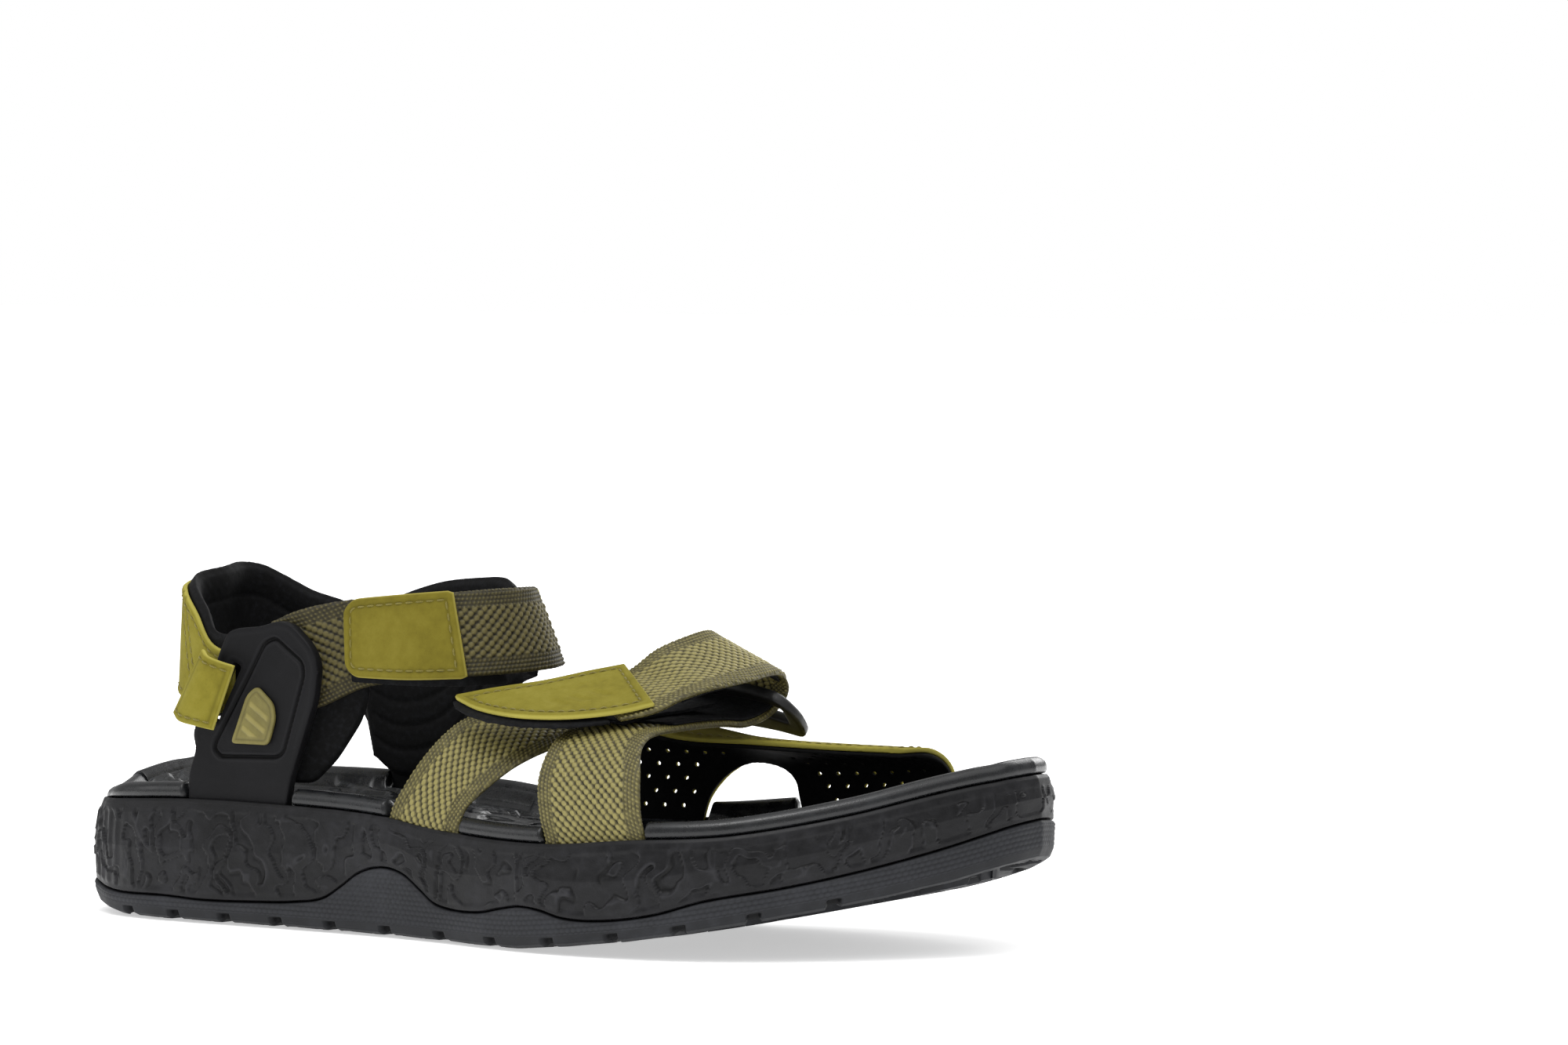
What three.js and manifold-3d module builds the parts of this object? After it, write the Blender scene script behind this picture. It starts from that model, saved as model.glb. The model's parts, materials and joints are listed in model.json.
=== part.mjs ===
// Strappy sport sandal, right foot, as separate pieces: cupped sole stack,
// moulded side supports, heel sling, ankle strap and instep strap.
// Millimetres, +Z up, +X towards the toe, +Y towards the medial side.
import * as THREE from 'three';
import Module from 'manifold-3d';
const wasm = await Module();
wasm.setup();

// ---------- driving dimensions ----------
const X0 = -2.5;            // back of the heel
const L = 303.5;            // overall sole length
const CENTRE_Y = -0.81;     // middle of the sole's width
const SLAB = 5;             // outsole slab thickness
const LIP = 3;              // outsole side lip thickness
const GAP = 0.3;            // clearance between touching pieces
const FLOOR = 2.2;          // footbed floor below the midsole edge
const CUP = 6.0;            // depth of the recess that holds the footbed
const RIM = 4.8;            // footbed rim above the midsole edge
const EDGE = 3.6;           // how far in from the sole edge the straps stand
const ROOT = 5.0;           // strap ends below the midsole edge
const WEB = 1.8;            // webbing thickness
const LEATHER = 1.4;        // leather thickness
const NEOPRENE = 3.0;       // padded lining thickness
const PLATE = 3.6;          // moulded side support thickness
const STATIONS = 40;        // sole cross-sections

// ---------- sole curves against X ----------
const interp = (tab, x) => {
  const n = tab.length;
  if (x <= tab[0][0]) return tab[0][1];
  if (x >= tab[n - 1][0]) return tab[n - 1][1];
  let i = 0;
  while (tab[i + 1][0] < x) i++;
  const [x0, y0] = tab[i], [x1, y1] = tab[i + 1];
  const m = (a, b) => (b[1] - a[1]) / (b[0] - a[0]);
  const d = m(tab[i], tab[i + 1]);
  const m0 = i > 0 ? (m(tab[i - 1], tab[i]) + d) / 2 : d;
  const m1 = i < n - 2 ? (m(tab[i + 1], tab[i + 2]) + d) / 2 : d;
  const h = x1 - x0, t = (x - x0) / h, t2 = t * t, t3 = t2 * t;
  return y0 * (2 * t3 - 3 * t2 + 1) + m0 * h * (t3 - 2 * t2 + t) + y1 * (3 * t2 - 2 * t3) + m1 * h * (t3 - t2);
};
const TOP = [[0, 33], [43, 35.6], [77, 35.6], [115, 34.3], [138, 31.6], [180, 30.6], [209, 33], [238, 34.9], [266, 40.4], [288, 47], [301, 50]];
const BOTTOM = [[0, 3.4], [10, 1.2], [20, 0.1], [30, 0], [90, 0], [160, 0], [170, 0.3], [180, 1.2], [209, 4.6], [227, 7.4], [241, 10], [269, 16], [285, 20.4], [301, 26]];
const WAVE = [[0, 7], [20, 6.8], [50, 6.8], [72, 9.5], [92, 17], [108, 19.5], [122, 15], [138, 8.6], [150, 9], [163, 10.6], [176, 8], [188, 6.6], [210, 7], [227, 8.4], [240, 10], [265, 11], [301, 12.5]];
const zt = (x) => interp(TOP, x), zb = (x) => Math.max(0, interp(BOTTOM, x)), zi = (x) => zb(x) + interp(WAVE, x);
const LAT = [[-2.5, 0], [1.4, -16.5], [10, -27.4], [25, -34.2], [43, -36.6], [77, -37.8], [115, -40.6], [138, -44.6], [160, -50.4], [180, -54.2], [205, -54.8], [222, -52.4], [238, -46.6], [254, -37], [270, -24.6], [284, -10.6], [293, -1], [299, 8], [301, 17]];
const MED = [[-2.5, 0], [1.4, 16.5], [10, 27.2], [25, 34], [43, 36.6], [72, 38.4], [115, 37.6], [145, 38.6], [170, 42.4], [195, 48], [220, 52.2], [245, 53.4], [262, 51.6], [276, 47.4], [287, 41.4], [295, 33.6], [299, 26.6], [301, 17]];

const station = (k) => X0 + (L / 2) * (1 - Math.cos((Math.PI * k) / STATIONS));
const outline = (() => {                       // closed loop: heel, lateral side, toe, medial side
  const p = [];
  for (let k = 0; k <= STATIONS; k++) p.push([station(k), interp(LAT, station(k))]);
  for (let k = STATIONS - 1; k > 0; k--) p.push([station(k), interp(MED, station(k))]);
  const nrm = p.map((_, i) => {
    const a = p[(i - 1 + p.length) % p.length], b = p[(i + 1) % p.length];
    const dx = b[0] - a[0], dy = b[1] - a[1], l = Math.hypot(dx, dy);
    return [-dy / l, dx / l];                  // points inwards
  });
  return { p, nrm };
})();
const soleRing = (inset, zf) => outline.p.map((q, i) => {
  const n = outline.nrm[i];
  const x = q[0] + n[0] * inset, y = q[1] + n[1] * inset;
  return [x, y, zf(q[0])];
});

// ---------- solids as {v, f} ----------
const volume = ({ v, f }) => {
  let s = 0;
  for (const [a, b, c] of f) {
    const A = v[a], B = v[b], C = v[c];
    s += A[0] * (B[1] * C[2] - B[2] * C[1]) - A[1] * (B[0] * C[2] - B[2] * C[0]) + A[2] * (B[0] * C[1] - B[1] * C[0]);
  }
  return s / 6;
};
const outward = (s) => { if (volume(s) < 0) s.f = s.f.map(([a, b, c]) => [a, c, b]); return s; };
// rings of equal count, both ends closed by strips that run across the ring
const loft = (rings) => {
  const n = rings[0].length, v = rings.flat(), f = [];
  for (let r = 0; r < rings.length - 1; r++) for (let i = 0; i < n; i++) {
    const a = r * n + i, b = r * n + ((i + 1) % n), c = a + n, d = b + n;
    f.push([a, b, d], [a, d, c]);
  }
  const cap = (o, flip) => {
    const put = (a, b, c) => f.push(flip ? [o + a, o + c, o + b] : [o + a, o + b, o + c]);
    put(0, n - 1, 1);
    for (let i = 1; i < n / 2 - 1; i++) { put(i, n - i, i + 1); put(i + 1, n - i, n - i - 1); }
    put(n / 2 - 1, n / 2 + 1, n / 2);
  };
  cap(0, false); cap((rings.length - 1) * n, true);
  return outward({ v, f });
};
const toMan = ({ v, f }) => {
  const m = new wasm.Mesh({ numProp: 3, vertProperties: new Float32Array(v.flat()), triVerts: new Uint32Array(f.flat()) });
  return new wasm.Manifold(m);
};
const fromMan = (man) => {
  const m = man.getMesh(), v = [], f = [];
  for (let i = 0; i < m.vertProperties.length; i += m.numProp) v.push([m.vertProperties[i], m.vertProperties[i + 1], m.vertProperties[i + 2]]);
  for (let i = 0; i < m.triVerts.length; i += 3) f.push([m.triVerts[i], m.triVerts[i + 1], m.triVerts[i + 2]]);
  return { v, f };
};
const cut = (s, ...cutters) => {               // the main body that is left
  let m = toMan(s);
  for (const c of cutters) m = m.subtract(toMan(c));
  return fromMan(m.decompose().reduce((a, b) => (b.volume() > a.volume() ? b : a)));
};
const keep = (s, c) => fromMan(toMan(s).intersect(toMan(c)));

// strap between two edge polylines, t thick, shifted along its outward side
const V = (a) => new THREE.Vector3(...a);
const ribbonRows = (A, B, n) => {
  const ca = new THREE.CatmullRomCurve3(A.map(V), false, 'centripetal'), cb = new THREE.CatmullRomCurve3(B.map(V), false, 'centripetal');
  const rows = [];
  for (let i = 0; i <= n; i++) rows.push([ca.getPoint(i / n), cb.getPoint(i / n)]);
  return rows;
};
const ribbon = (rows, t, { shift = 0, side = 1, wide = 0, across = 2, crown = 0, head = 0 } = {}) => {
  const n = rows.length, rings = [];
  const mid = rows.map(([a, b]) => a.clone().add(b).multiplyScalar(0.5));
  for (let i = 0; i < n; i++) {
    const [a0, b0] = rows[i];
    const w = b0.clone().sub(a0).normalize();
    const tan = mid[Math.min(n - 1, i + 1)].clone().sub(mid[Math.max(0, i - 1)]).normalize();
    const nn = new THREE.Vector3().crossVectors(w, tan).normalize().multiplyScalar(side);
    const back = i === 0 ? tan.clone().multiplyScalar(-head) : new THREE.Vector3();
    const a = a0.clone().addScaledVector(w, -wide).add(back), b = b0.clone().addScaledVector(w, wide).add(back);
    const top = [], bot = [];
    for (let k = 0; k <= across; k++) {
      const p = a.clone().lerp(b, k / across), c = crown * 4 * (k / across) * (1 - k / across) + shift;
      top.push(p.clone().addScaledVector(nn, c + t / 2).toArray());
      bot.push(p.clone().addScaledVector(nn, c - t / 2).toArray());
    }
    rings.push([...top, ...bot.reverse()]);
  }
  const m = rings[0].length, h = across + 1, v = rings.flat(), f = [];
  for (let r = 0; r < n - 1; r++) for (let i = 0; i < m; i++) {
    const a = r * m + i, b = r * m + ((i + 1) % m), c = a + m, d = b + m;
    f.push([a, b, d], [a, d, c]);
  }
  for (const [o, flip] of [[0, false], [(n - 1) * m, true]]) for (let k = 0; k < h - 1; k++) {
    const q = [o + k, o + k + 1, o + m - 2 - k, o + m - 1 - k];
    const t1 = [q[0], q[2], q[1]], t2 = [q[0], q[3], q[2]];
    f.push(flip ? [t1[0], t1[2], t1[1]] : t1, flip ? [t2[0], t2[2], t2[1]] : t2);
  }
  return outward({ v, f });
};
// plate from an outline with holes; place(u, v, w) puts it in space, w = 0 outer face, 1 inner face
const plate = (contour, holes, place) => {
  const c = contour.map((p) => new THREE.Vector2(...p)), hs = holes.map((h) => h.map((p) => new THREE.Vector2(...p)));
  if (THREE.ShapeUtils.isClockWise(c)) c.reverse();
  for (const h of hs) if (!THREE.ShapeUtils.isClockWise(h)) h.reverse();
  const tris = THREE.ShapeUtils.triangulateShape(c, hs), flat = [c, ...hs].flat(), n = flat.length;
  const v = [...flat.map((p) => place(p.x, p.y, 0)), ...flat.map((p) => place(p.x, p.y, 1))], f = [];
  for (const [a, b, d] of tris) f.push([a, b, d], [n + a, n + d, n + b]);
  let o = 0;
  for (const loop of [c, ...hs]) {
    for (let i = 0; i < loop.length; i++) { const a = o + i, b = o + ((i + 1) % loop.length); f.push([a, n + a, n + b], [a, n + b, b]); }
    o += loop.length;
  }
  return outward({ v, f });
};
const smoothLoop = (pts, n) => new THREE.CatmullRomCurve3(pts.map(([x, y]) => new THREE.Vector3(x, y, 0)), true, 'centripetal')
  .getSpacedPoints(n).slice(0, n).map((p) => [p.x, p.y]);
const chamfer = (pts, r) => {                  // rounds each corner with three points
  const out = [];
  pts.forEach((p, i) => {
    const a = pts[(i - 1 + pts.length) % pts.length], b = pts[(i + 1) % pts.length];
    const rr = p[2] ?? r;
    const ua = [a[0] - p[0], a[1] - p[1]], ub = [b[0] - p[0], b[1] - p[1]], la = Math.hypot(...ua), lb = Math.hypot(...ub);
    const d = Math.min(rr, la / 2.2, lb / 2.2);
    const A = [p[0] + (ua[0] / la) * d, p[1] + (ua[1] / la) * d], B = [p[0] + (ub[0] / lb) * d, p[1] + (ub[1] / lb) * d];
    out.push(A, [p[0] * 0.5 + (A[0] + B[0]) * 0.25, p[1] * 0.5 + (A[1] + B[1]) * 0.25], B);
  });
  return out;
};

// ---------- sole stack ----------
const outsole = loft([
  soleRing(15, zb), soleRing(4.6, (x) => zb(x) + 1), soleRing(1.4, (x) => zb(x) + 2.6), soleRing(0.3, (x) => zb(x) + 5), soleRing(0, (x) => zi(x)),
  soleRing(LIP, (x) => zi(x)), soleRing(LIP + 0.01, (x) => zb(x) + SLAB),
]);
let midsole = loft([
  soleRing(LIP + GAP, (x) => zb(x) + SLAB + GAP), soleRing(LIP + GAP, (x) => zi(x) + GAP), soleRing(0.2, (x) => zi(x) + GAP),
  soleRing(0, (x) => (zi(x) * 0.5 + zt(x) * 0.5)), soleRing(0.9, (x) => zt(x) - 3), soleRing(2.2, zt),
  soleRing(EDGE - GAP, zt), soleRing(EDGE - GAP + 0.01, (x) => zt(x) - CUP),
]);
let footbed = loft([
  soleRing(EDGE, (x) => zt(x) - CUP + GAP), soleRing(EDGE, (x) => zt(x) + GAP), soleRing(2.6, (x) => zt(x) + GAP + 0.1),
  soleRing(2.3, (x) => zt(x) + RIM * 0.55), soleRing(3.8, (x) => zt(x) + RIM * 0.93), soleRing(5.8, (x) => zt(x) + RIM),
  soleRing(8.2, (x) => zt(x) + RIM * 0.6), soleRing(10.4, (x) => zt(x) - 0.6), soleRing(14.5, (x) => zt(x) - FLOOR),
]);
// round cushion unit let into the heel from above
const disc = (r0, r1, z0, z1, n = 28) => {
  const prof = [new THREE.Vector2(0, z0), new THREE.Vector2(r0 - 2, z0), new THREE.Vector2(r0, z0 + 2), new THREE.Vector2(r1, z1 - 2), new THREE.Vector2(r1 - 2, z1), new THREE.Vector2(0, z1)];
  const v = [[0, 0, z0]], f = [];
  for (let j = 1; j < 5; j++) for (let i = 0; i < n; i++) { const a = (2 * Math.PI * i) / n; v.push([prof[j].x * 1.35 * Math.cos(a), prof[j].x * Math.sin(a), prof[j].y]); }
  v.push([0, 0, z1]);
  for (let i = 0; i < n; i++) {
    const k = (i + 1) % n;
    f.push([0, 1 + k, 1 + i]);
    for (let j = 0; j < 3; j++) { const a = 1 + j * n + i, b = 1 + j * n + k; f.push([a, b, b + n], [a, b + n, a + n]); }
    f.push([1 + 3 * n + i, 1 + 3 * n + k, v.length - 1]);
  }
  const s = { v: v.map(([x, y, z]) => [x + 46, y, z]), f };
  return outward(s);
};
const heelCushion = disc(20, 20, 13, 28.2);
midsole = cut(midsole, disc(20.4, 20.4, 12.6, 45));

// ---------- lateral moulded support ----------
const edgeLat = (x) => interp(LAT, x) + EDGE, edgeMed = (x) => interp(MED, x) - EDGE;
const lean = (z, z0, k) => Math.max(0, z - z0) * k;
const latY = (x, z) => edgeLat(x) + lean(z, 42, 0.035);
const quarterOutline = chamfer([[45.5, zt(45) - ROOT, 0.5], [45.8, 43], [48.3, 50.2, 2], [47, 54.6, 2], [56.6, 79.4, 1], [59, 84.4, 2], [62.4, 85.6, 1.5], [70.6, 86.4], [76.8, 88.2, 2], [81.9, 87.5, 2.5], [88.8, 81.6, 2.5], [91.8, 76.2, 3], [90.8, 66.4, 3], [82.4, 42.4], [80.2, zt(80) - ROOT, 0.5]], 2);
const quarterSlot = chamfer([[53.2, 59.6], [61.4, 76], [64.2, 74.6], [56, 58.2]], 1);
const lateralQuarter = plate(quarterOutline, [quarterSlot], (x, z, w) => [x, latY(x, z) + w * PLATE, z]);
const badge = plate(chamfer([[61.6, 52.4], [67, 66.6], [70.6, 69.4], [76.6, 64.4], [77.4, 60], [75, 52.4]], 1.8), [], (x, z, w) => [x, latY(x, z) - GAP - 1.2 + w * 1.2, z]);
// foam pad behind the lateral support, standing on the footbed
const latPad = plate(chamfer([[53, 41.2, 2], [56, 50], [68, 67], [74.5, 84.5, 3], [84, 84, 4], [96, 80, 5], [99.6, 68, 5], [97, 59], [90.6, 48], [84.4, 41.2, 2]], 3), [],
  (x, z, w) => [x, latY(x, z) + PLATE + 2.9 + w * 3.2 + lean(x, 80, 0.45), z]);

// ---------- medial moulded support, leaning back ----------
const medY = (x, z) => edgeMed(x) - lean(z, 42, 0.07);
const medOutline = chamfer([[74, zt(74) - ROOT, 0.5], [73.4, 39], [62.4, 60], [46, 72], [40.4, 77, 2], [38, 82, 4], [44.5, 86.6, 5], [57, 85], [72, 74], [83, 64], [93, 52, 5], [103, 39], [104, zt(104) - ROOT, 0.5]], 3);
const ankleSlot = chamfer([[50.2, 72.2], [56.2, 81.6], [58.6, 80.2], [52.6, 70.8]], 1);
const medialQuarter = plate(medOutline, [ankleSlot, chamfer([[45.6, 77.6], [50.4, 84], [52.4, 82.7], [47.6, 76.3]], 0.8)], (x, z, w) => [x, medY(x, z) - w * PLATE, z]);

// ---------- heel sling ----------
const slingPlan = (z) => {                      // lateral slot, round the heel, medial slot
  const k = (z - 66) / 32, b = 25.4 + 3 * k;
  return [[58.4, -27.8], [50, -27.6], [40.5, -25.7], [32.6, -20.6], [27.2, -11.5], [b, 0], [27.4, 11], [31, 18.6], [37, 23.4], [43, 25.2]]
    .map(([x, y], i) => [i > 1 && i < 9 ? x + 2 + (b - 25.4) * 0.6 : x, y, z]);
};
const slingTop = [77.2, 80.6, 88.5, 94.6, 97.2, 98.4, 97.6, 94, 88, 82.6], slingBot = [60.6, 60.8, 62.6, 64.8, 66.6, 67.4, 67.2, 67.6, 70, 74.6];
const slingEdge = (zs, add = 0) => zs.map((z, i) => { const p = slingPlan(z)[i]; return [p[0], p[1], z + add]; });
const slingRows = ribbonRows(slingEdge(slingBot), slingEdge(slingTop), 22);
const heelSling = ribbon(slingRows, LEATHER, { side: 1 });
const inset2 = (poly, d) => poly.map((p, i) => {
  const a = poly[Math.max(0, i - 1)], b = poly[Math.min(poly.length - 1, i + 1)], dx = b[0] - a[0], dy = b[1] - a[1], l = Math.hypot(dx, dy);
  return [p[0] + (dy / l) * d, p[1] - (dx / l) * d];
});
const liningPlan = (z) => [[61.5, -24.6], ...inset2(slingPlan(z), 2.75).slice(1, 9), [52, 22.2], [62, 22.2]];
const liningTop = [83, 83.2, 90.4, 96.2, 99, 100.6, 101.4, 100.4, 97, 92.8, 90.4], liningBot = [62, 60.8, 62.6, 64.8, 66.4, 67, 67, 67.4, 69, 71, 75];
const liningEdge = (zs) => zs.map((z, i) => { const p = liningPlan(z)[i]; return [p[0], p[1], z]; });
const slingLining = ribbon(ribbonRows(liningEdge(liningBot), liningEdge(liningTop), 24), NEOPRENE, { side: 1 });
// folded-back end of the sling on the outside of each support
const latLoop = ribbon(ribbonRows([[57.4, -37.1, 56.4], [52.4, -38.3, 57.4], [46.4, -38.3, 58.6], [42.6, -35.5, 60.4]], [[64.8, -37, 75], [60.6, -38, 76.2], [56.2, -38, 77.6], [52.8, -35.4, 79.2]], 8), LEATHER, { side: 1 });
const medLoop = ribbon(ribbonRows([[46, 37.4, 74.4], [42.4, 38, 75.6], [38.6, 36.6, 76.6], [36.2, 33.6, 77]], [[51.4, 36.8, 82.4], [47.8, 37.4, 84.4], [43.4, 36.4, 86.8], [39.4, 33.4, 87.6]], 8), LEATHER, { side: 1 });

// ---------- ankle strap, medial half (fixed) ----------
const ankT = [[52.6, 36.6, 82.8], [62, 36.4, 85.8], [80, 34.6, 89.2], [98, 30.8, 92.8], [114, 25.4, 95.8], [127, 18.4, 96.8], [135.6, 12.6, 97.4]];
const ankB = [[56.4, 37.4, 62.6], [70, 37.8, 66.6], [86, 36.2, 69.2], [103, 32.8, 71.6], [119, 27.6, 73.4], [133, 21.2, 74.9], [142.8, 15.2, 75.5]];
const ankleWebbing = ribbon(ribbonRows(ankB, ankT, 14), WEB, { side: -1 });
const wingT = [[64, 24.6, 84], [78, 24.8, 91], [96, 22.6, 96.6], [113, 18.2, 98.8], [126, 12.8, 99.3], [131.6, 8.2, 97.4]];
const wingB = [[69.6, 28.2, 45], [79, 27.8, 39.6], [97, 26.2, 43], [114, 22.4, 60], [128.6, 16.6, 69.4], [137.6, 10.8, 72.2]];
const medialWing = ribbon(ribbonRows(wingB, wingT, 14), 3.6, { side: -1 });
const frontPatch = ribbon(ribbonRows([[132.4, 24.4, 74.2], [138.4, 21, 74.4], [143.4, 17.6, 74.8]], [[126, 21.6, 97.8], [131.4, 18.4, 98], [136.2, 15.2, 98]], 4), LEATHER, { side: -1 });

// ---------- ankle strap, lateral closing half (moves) ----------
const cloT = [[138.6, 8.2, 97.5], [141, 0, 98], [139, -10.4, 98.2], [131.8, -20.6, 97.6], [118, -26, 96.4], [104.6, -27.2, 95]];
const cloB = [[147, 10.4, 75.4], [149.2, 1.6, 75.2], [146, -10.6, 74.6], [137.4, -22, 74], [121, -27.2, 73.4], [106.6, -28.6, 73.8]];
const cloRows = ribbonRows(cloB, cloT, 12);
const ankleClosure = ribbon(cloRows, WEB, { side: -1 });
const tabPlate = (T, B, n, t, shift) => ribbon(ribbonRows(B, T, n), t, { side: -1, shift });
const ankleTab = tabPlate([[131.4, -22.9, 98], [118, -28, 96.8], [105, -29.4, 95.4], [101.2, -29.6, 94], [99.2, -29.7, 90.6]], [[137, -24, 73.4], [121, -29.4, 72.8], [106, -31, 73], [102.4, -31.1, 74.6], [100.4, -31, 78.6]], 10, LEATHER, -1.3);
const ankleHook = tabPlate([[135.2, -11.6, 96.2], [129.6, -20.2, 96], [117.4, -24.4, 95], [97.8, -25.4, 93]], [[142.2, -12, 71.6], [134.2, -20.6, 71.2], [120.4, -25.6, 71], [99.2, -26.8, 71.4]], 8, 1.2, 0.15);
const anchorT = [[72, -27.6, 87.6], [82, -26.9, 91.4], [97, -20.9, 94.4], [113, -19.7, 94], [125, -16.9, 93]];
const anchorB = [[78.6, -28.7, 61.2], [88.4, -27.2, 63.6], [101, -23, 69.4], [115, -21.6, 71.4], [128, -18.6, 72.2]];
const ankleAnchor = ribbon(ribbonRows(anchorB, anchorT, 10), WEB, { side: -1 });
const anklePile = ribbon(ribbonRows([[102.6, -24.5, 71.2], [115, -23.2, 72.6], [127, -20.4, 73.4]], [[99.4, -23, 89.6], [113, -21.8, 90.6], [124, -19.2, 90.8]], 5), 1, { side: -1, shift: 0 });

// ---------- forefoot straps ----------
const strap = (A, B, n, k) => {                 // strap with its root set down into the sole
  const rows = ribbonRows(A, B, n);
  return { solid: ribbon(rows, WEB, { side: 1 }), tight: ribbon(rows.slice(0, k), WEB + 0.8, { side: 1, wide: 0.5, head: 1.2 }), pocket: ribbon(rows.slice(0, k), WEB + 4.0, { side: 1, wide: 0.6, head: 1.2, shift: 1.6 }) };
};
const root = (x, y) => [x, y, zt(x) - ROOT];
const eL = (x) => edgeLat(x) + WEB / 2;
const strapA = strap(
  [root(118.6, eL(118.6)), [119.4, eL(119.4), 35.6], [123.1, -35.3, 43.1], [127, -32.3, 50.4], [131, -27.8, 56.9], [134.6, -23, 61], [142, -10, 64.4], [152, 3, 65.6]],
  [root(145, eL(145) + 0.2), [145.4, eL(145.4) + 0.2, 32.2], [147, -40.4, 38], [149.8, -38.8, 41.4], [155, -35, 46.8], [160.6, -30.6, 51.4], [171, -15.4, 57.6], [180, -3, 59.6]], 22, 7);
const strapB = strap(
  [root(179.8, eL(179.8)), [179.6, eL(179.6) + 0.2, 31], [177.5, -49, 37.4], [174.6, -45.6, 47], [173.6, -39, 54.8], [173.4, -31, 59], [174, -14, 61.9], [175.4, 6, 63.5], [176.4, 17, 64.6], [177.2, 24.6, 66], [178, 29, 68.6], [180, 31.6, 73.6], [183.4, 31.8, 78.8], [186.6, 29.8, 82.2]],
  [root(212.2, eL(212.2)), [212, eL(212) + 0.2, 33.4], [210.6, -49.6, 40.4], [207.6, -45, 50.6], [204, -38.4, 56.8], [202.3, -30, 60.1], [202.6, -13, 61], [203.8, 7, 60.8], [205, 17, 60], [206.4, 24.6, 61.4], [207.8, 29, 63.8], [209, 31.8, 67], [209.8, 31.9, 70], [210, 30.2, 72.2]], 44, 8);
const instepPile = ribbon(ribbonRows([[160, -19, 68.4], [166, -9, 69.4], [175, 4, 69.8], [181, 12, 70]].map(([x, y, z]) => [x + 6, y, z - 3.2]), [[190, -25.6, 63], [191, -15, 64.2], [194, 2, 65], [197, 12, 66]], 6), 1, { side: 1, shift: -0.4 });

// ---------- instep closing strap (moves) ----------
const upP = [[187.8, 27, 83.6], [190, 19, 86], [189, 9, 84.8], [184, 1.4, 81.2], [178, -3.8, 75.3], [172.6, -8, 73.9], [166.6, -12.4, 72.6]];
const upQ = [[210.6, 28, 73.8], [210.9, 21, 74.4], [211.2, 11, 73.6], [210.8, -1, 72.8], [209.2, -11, 72], [205, -18, 69.8], [199.4, -23.8, 66.3], [192, -29.6, 64.2]];
const upRows = ribbonRows(upP, upQ, 16);
const instepClosure = ribbon(upRows, WEB, { side: 1 });
const instepTab = ribbon(ribbonRows([[177.1, -4, 77.3], [170.1, -10, 75.8], [159.2, -19, 72.9], [146.7, -27, 70.7], [138.6, -30.6, 69.2]], [[199.2, -24, 68.5], [192.1, -30, 66.5], [178.7, -36, 64.8], [162.8, -38, 64.6], [148.3, -36, 66], [141, -33.4, 67.4]], 12), LEATHER, { side: 1 });
const instepHook = ribbon(ribbonRows([[164.2, -14.6, 72], [158.6, -18.8, 70.7], [146.6, -26.6, 68.6], [138.4, -30.6, 67]], [[189.2, -31.4, 63.7], [178.4, -36.2, 62.5], [161.6, -38.2, 62.4], [147, -36.2, 63.9], [140.4, -33.4, 65.2]], 10), 1.2, { side: 1, shift: 0 });

// ---------- medial leather panel with an arch ----------
const panelSection = [
  // x, then (y, z) from the base over the instep to the free edge
  [128, [[edgeMed(128) - 0.9, zt(128) - ROOT], [33.6, 36], [34.4, 44], [34, 51], [32, 57], [28.6, 61.4], [25.4, 64], [22.4, 66], [20, 67]]],
  [150, [[edgeMed(150) - 0.9, zt(150) - ROOT], [35, 36], [36.6, 44], [36.4, 50.4], [34.6, 55.6], [31, 59.4], [26.6, 61.8], [21.8, 62.6], [17.6, 62]]],
  [180, [[edgeMed(180) - 0.9, zt(180) - ROOT], [40.4, 36], [42.2, 43], [42, 48.4], [39.4, 52.6], [34.6, 56], [29, 57.6], [22.6, 57], [17, 55]]],
  [206, [[edgeMed(206) - 0.9, zt(206) - ROOT], [45.4, 37], [46.8, 43], [45.6, 47.4], [41.6, 50.2], [36.6, 51.8], [31, 53.6], [24.6, 54.6], [19, 54.2]]],
  [232, [[edgeMed(232) - 0.9, zt(232) - ROOT], [48.8, 38], [49.6, 43.4], [47.8, 47.8], [43.8, 50.4], [38.4, 52], [32, 53.2], [26, 53.8], [21, 53.6]]],
  [256, [[edgeMed(256) - 0.9, zt(256) - ROOT], [48, 39], [48.6, 43.2], [46.8, 46.8], [43.2, 49.8], [38.8, 51.8], [34.4, 53], [30, 53.4], [26, 53.2]]],
];
const panelRowsRaw = panelSection.map(([x, pts]) => new THREE.CatmullRomCurve3(pts.map(([y, z]) => new THREE.Vector3(x, y, z)), false, 'centripetal'));
const panelGrid = [];
for (let i = 0; i <= 16; i++) {
  const x = 128 + (128 * i) / 16, row = [];
  for (let j = 0; j <= 12; j++) {
    const ps = panelRowsRaw.map((c) => c.getPoint(j / 12));
    row.push([x, interp(ps.map((p) => [p.x, p.y]), x), interp(ps.map((p) => [p.x, p.z]), x)]);
  }
  panelGrid.push(row);
}
const gridNormal = (g, i, j) => {
  const a = V(g[Math.min(g.length - 1, i + 1)][j]).sub(V(g[Math.max(0, i - 1)][j])), b = V(g[i][Math.min(g[0].length - 1, j + 1)]).sub(V(g[i][Math.max(0, j - 1)]));
  return a.cross(b).normalize().negate();
};
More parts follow.
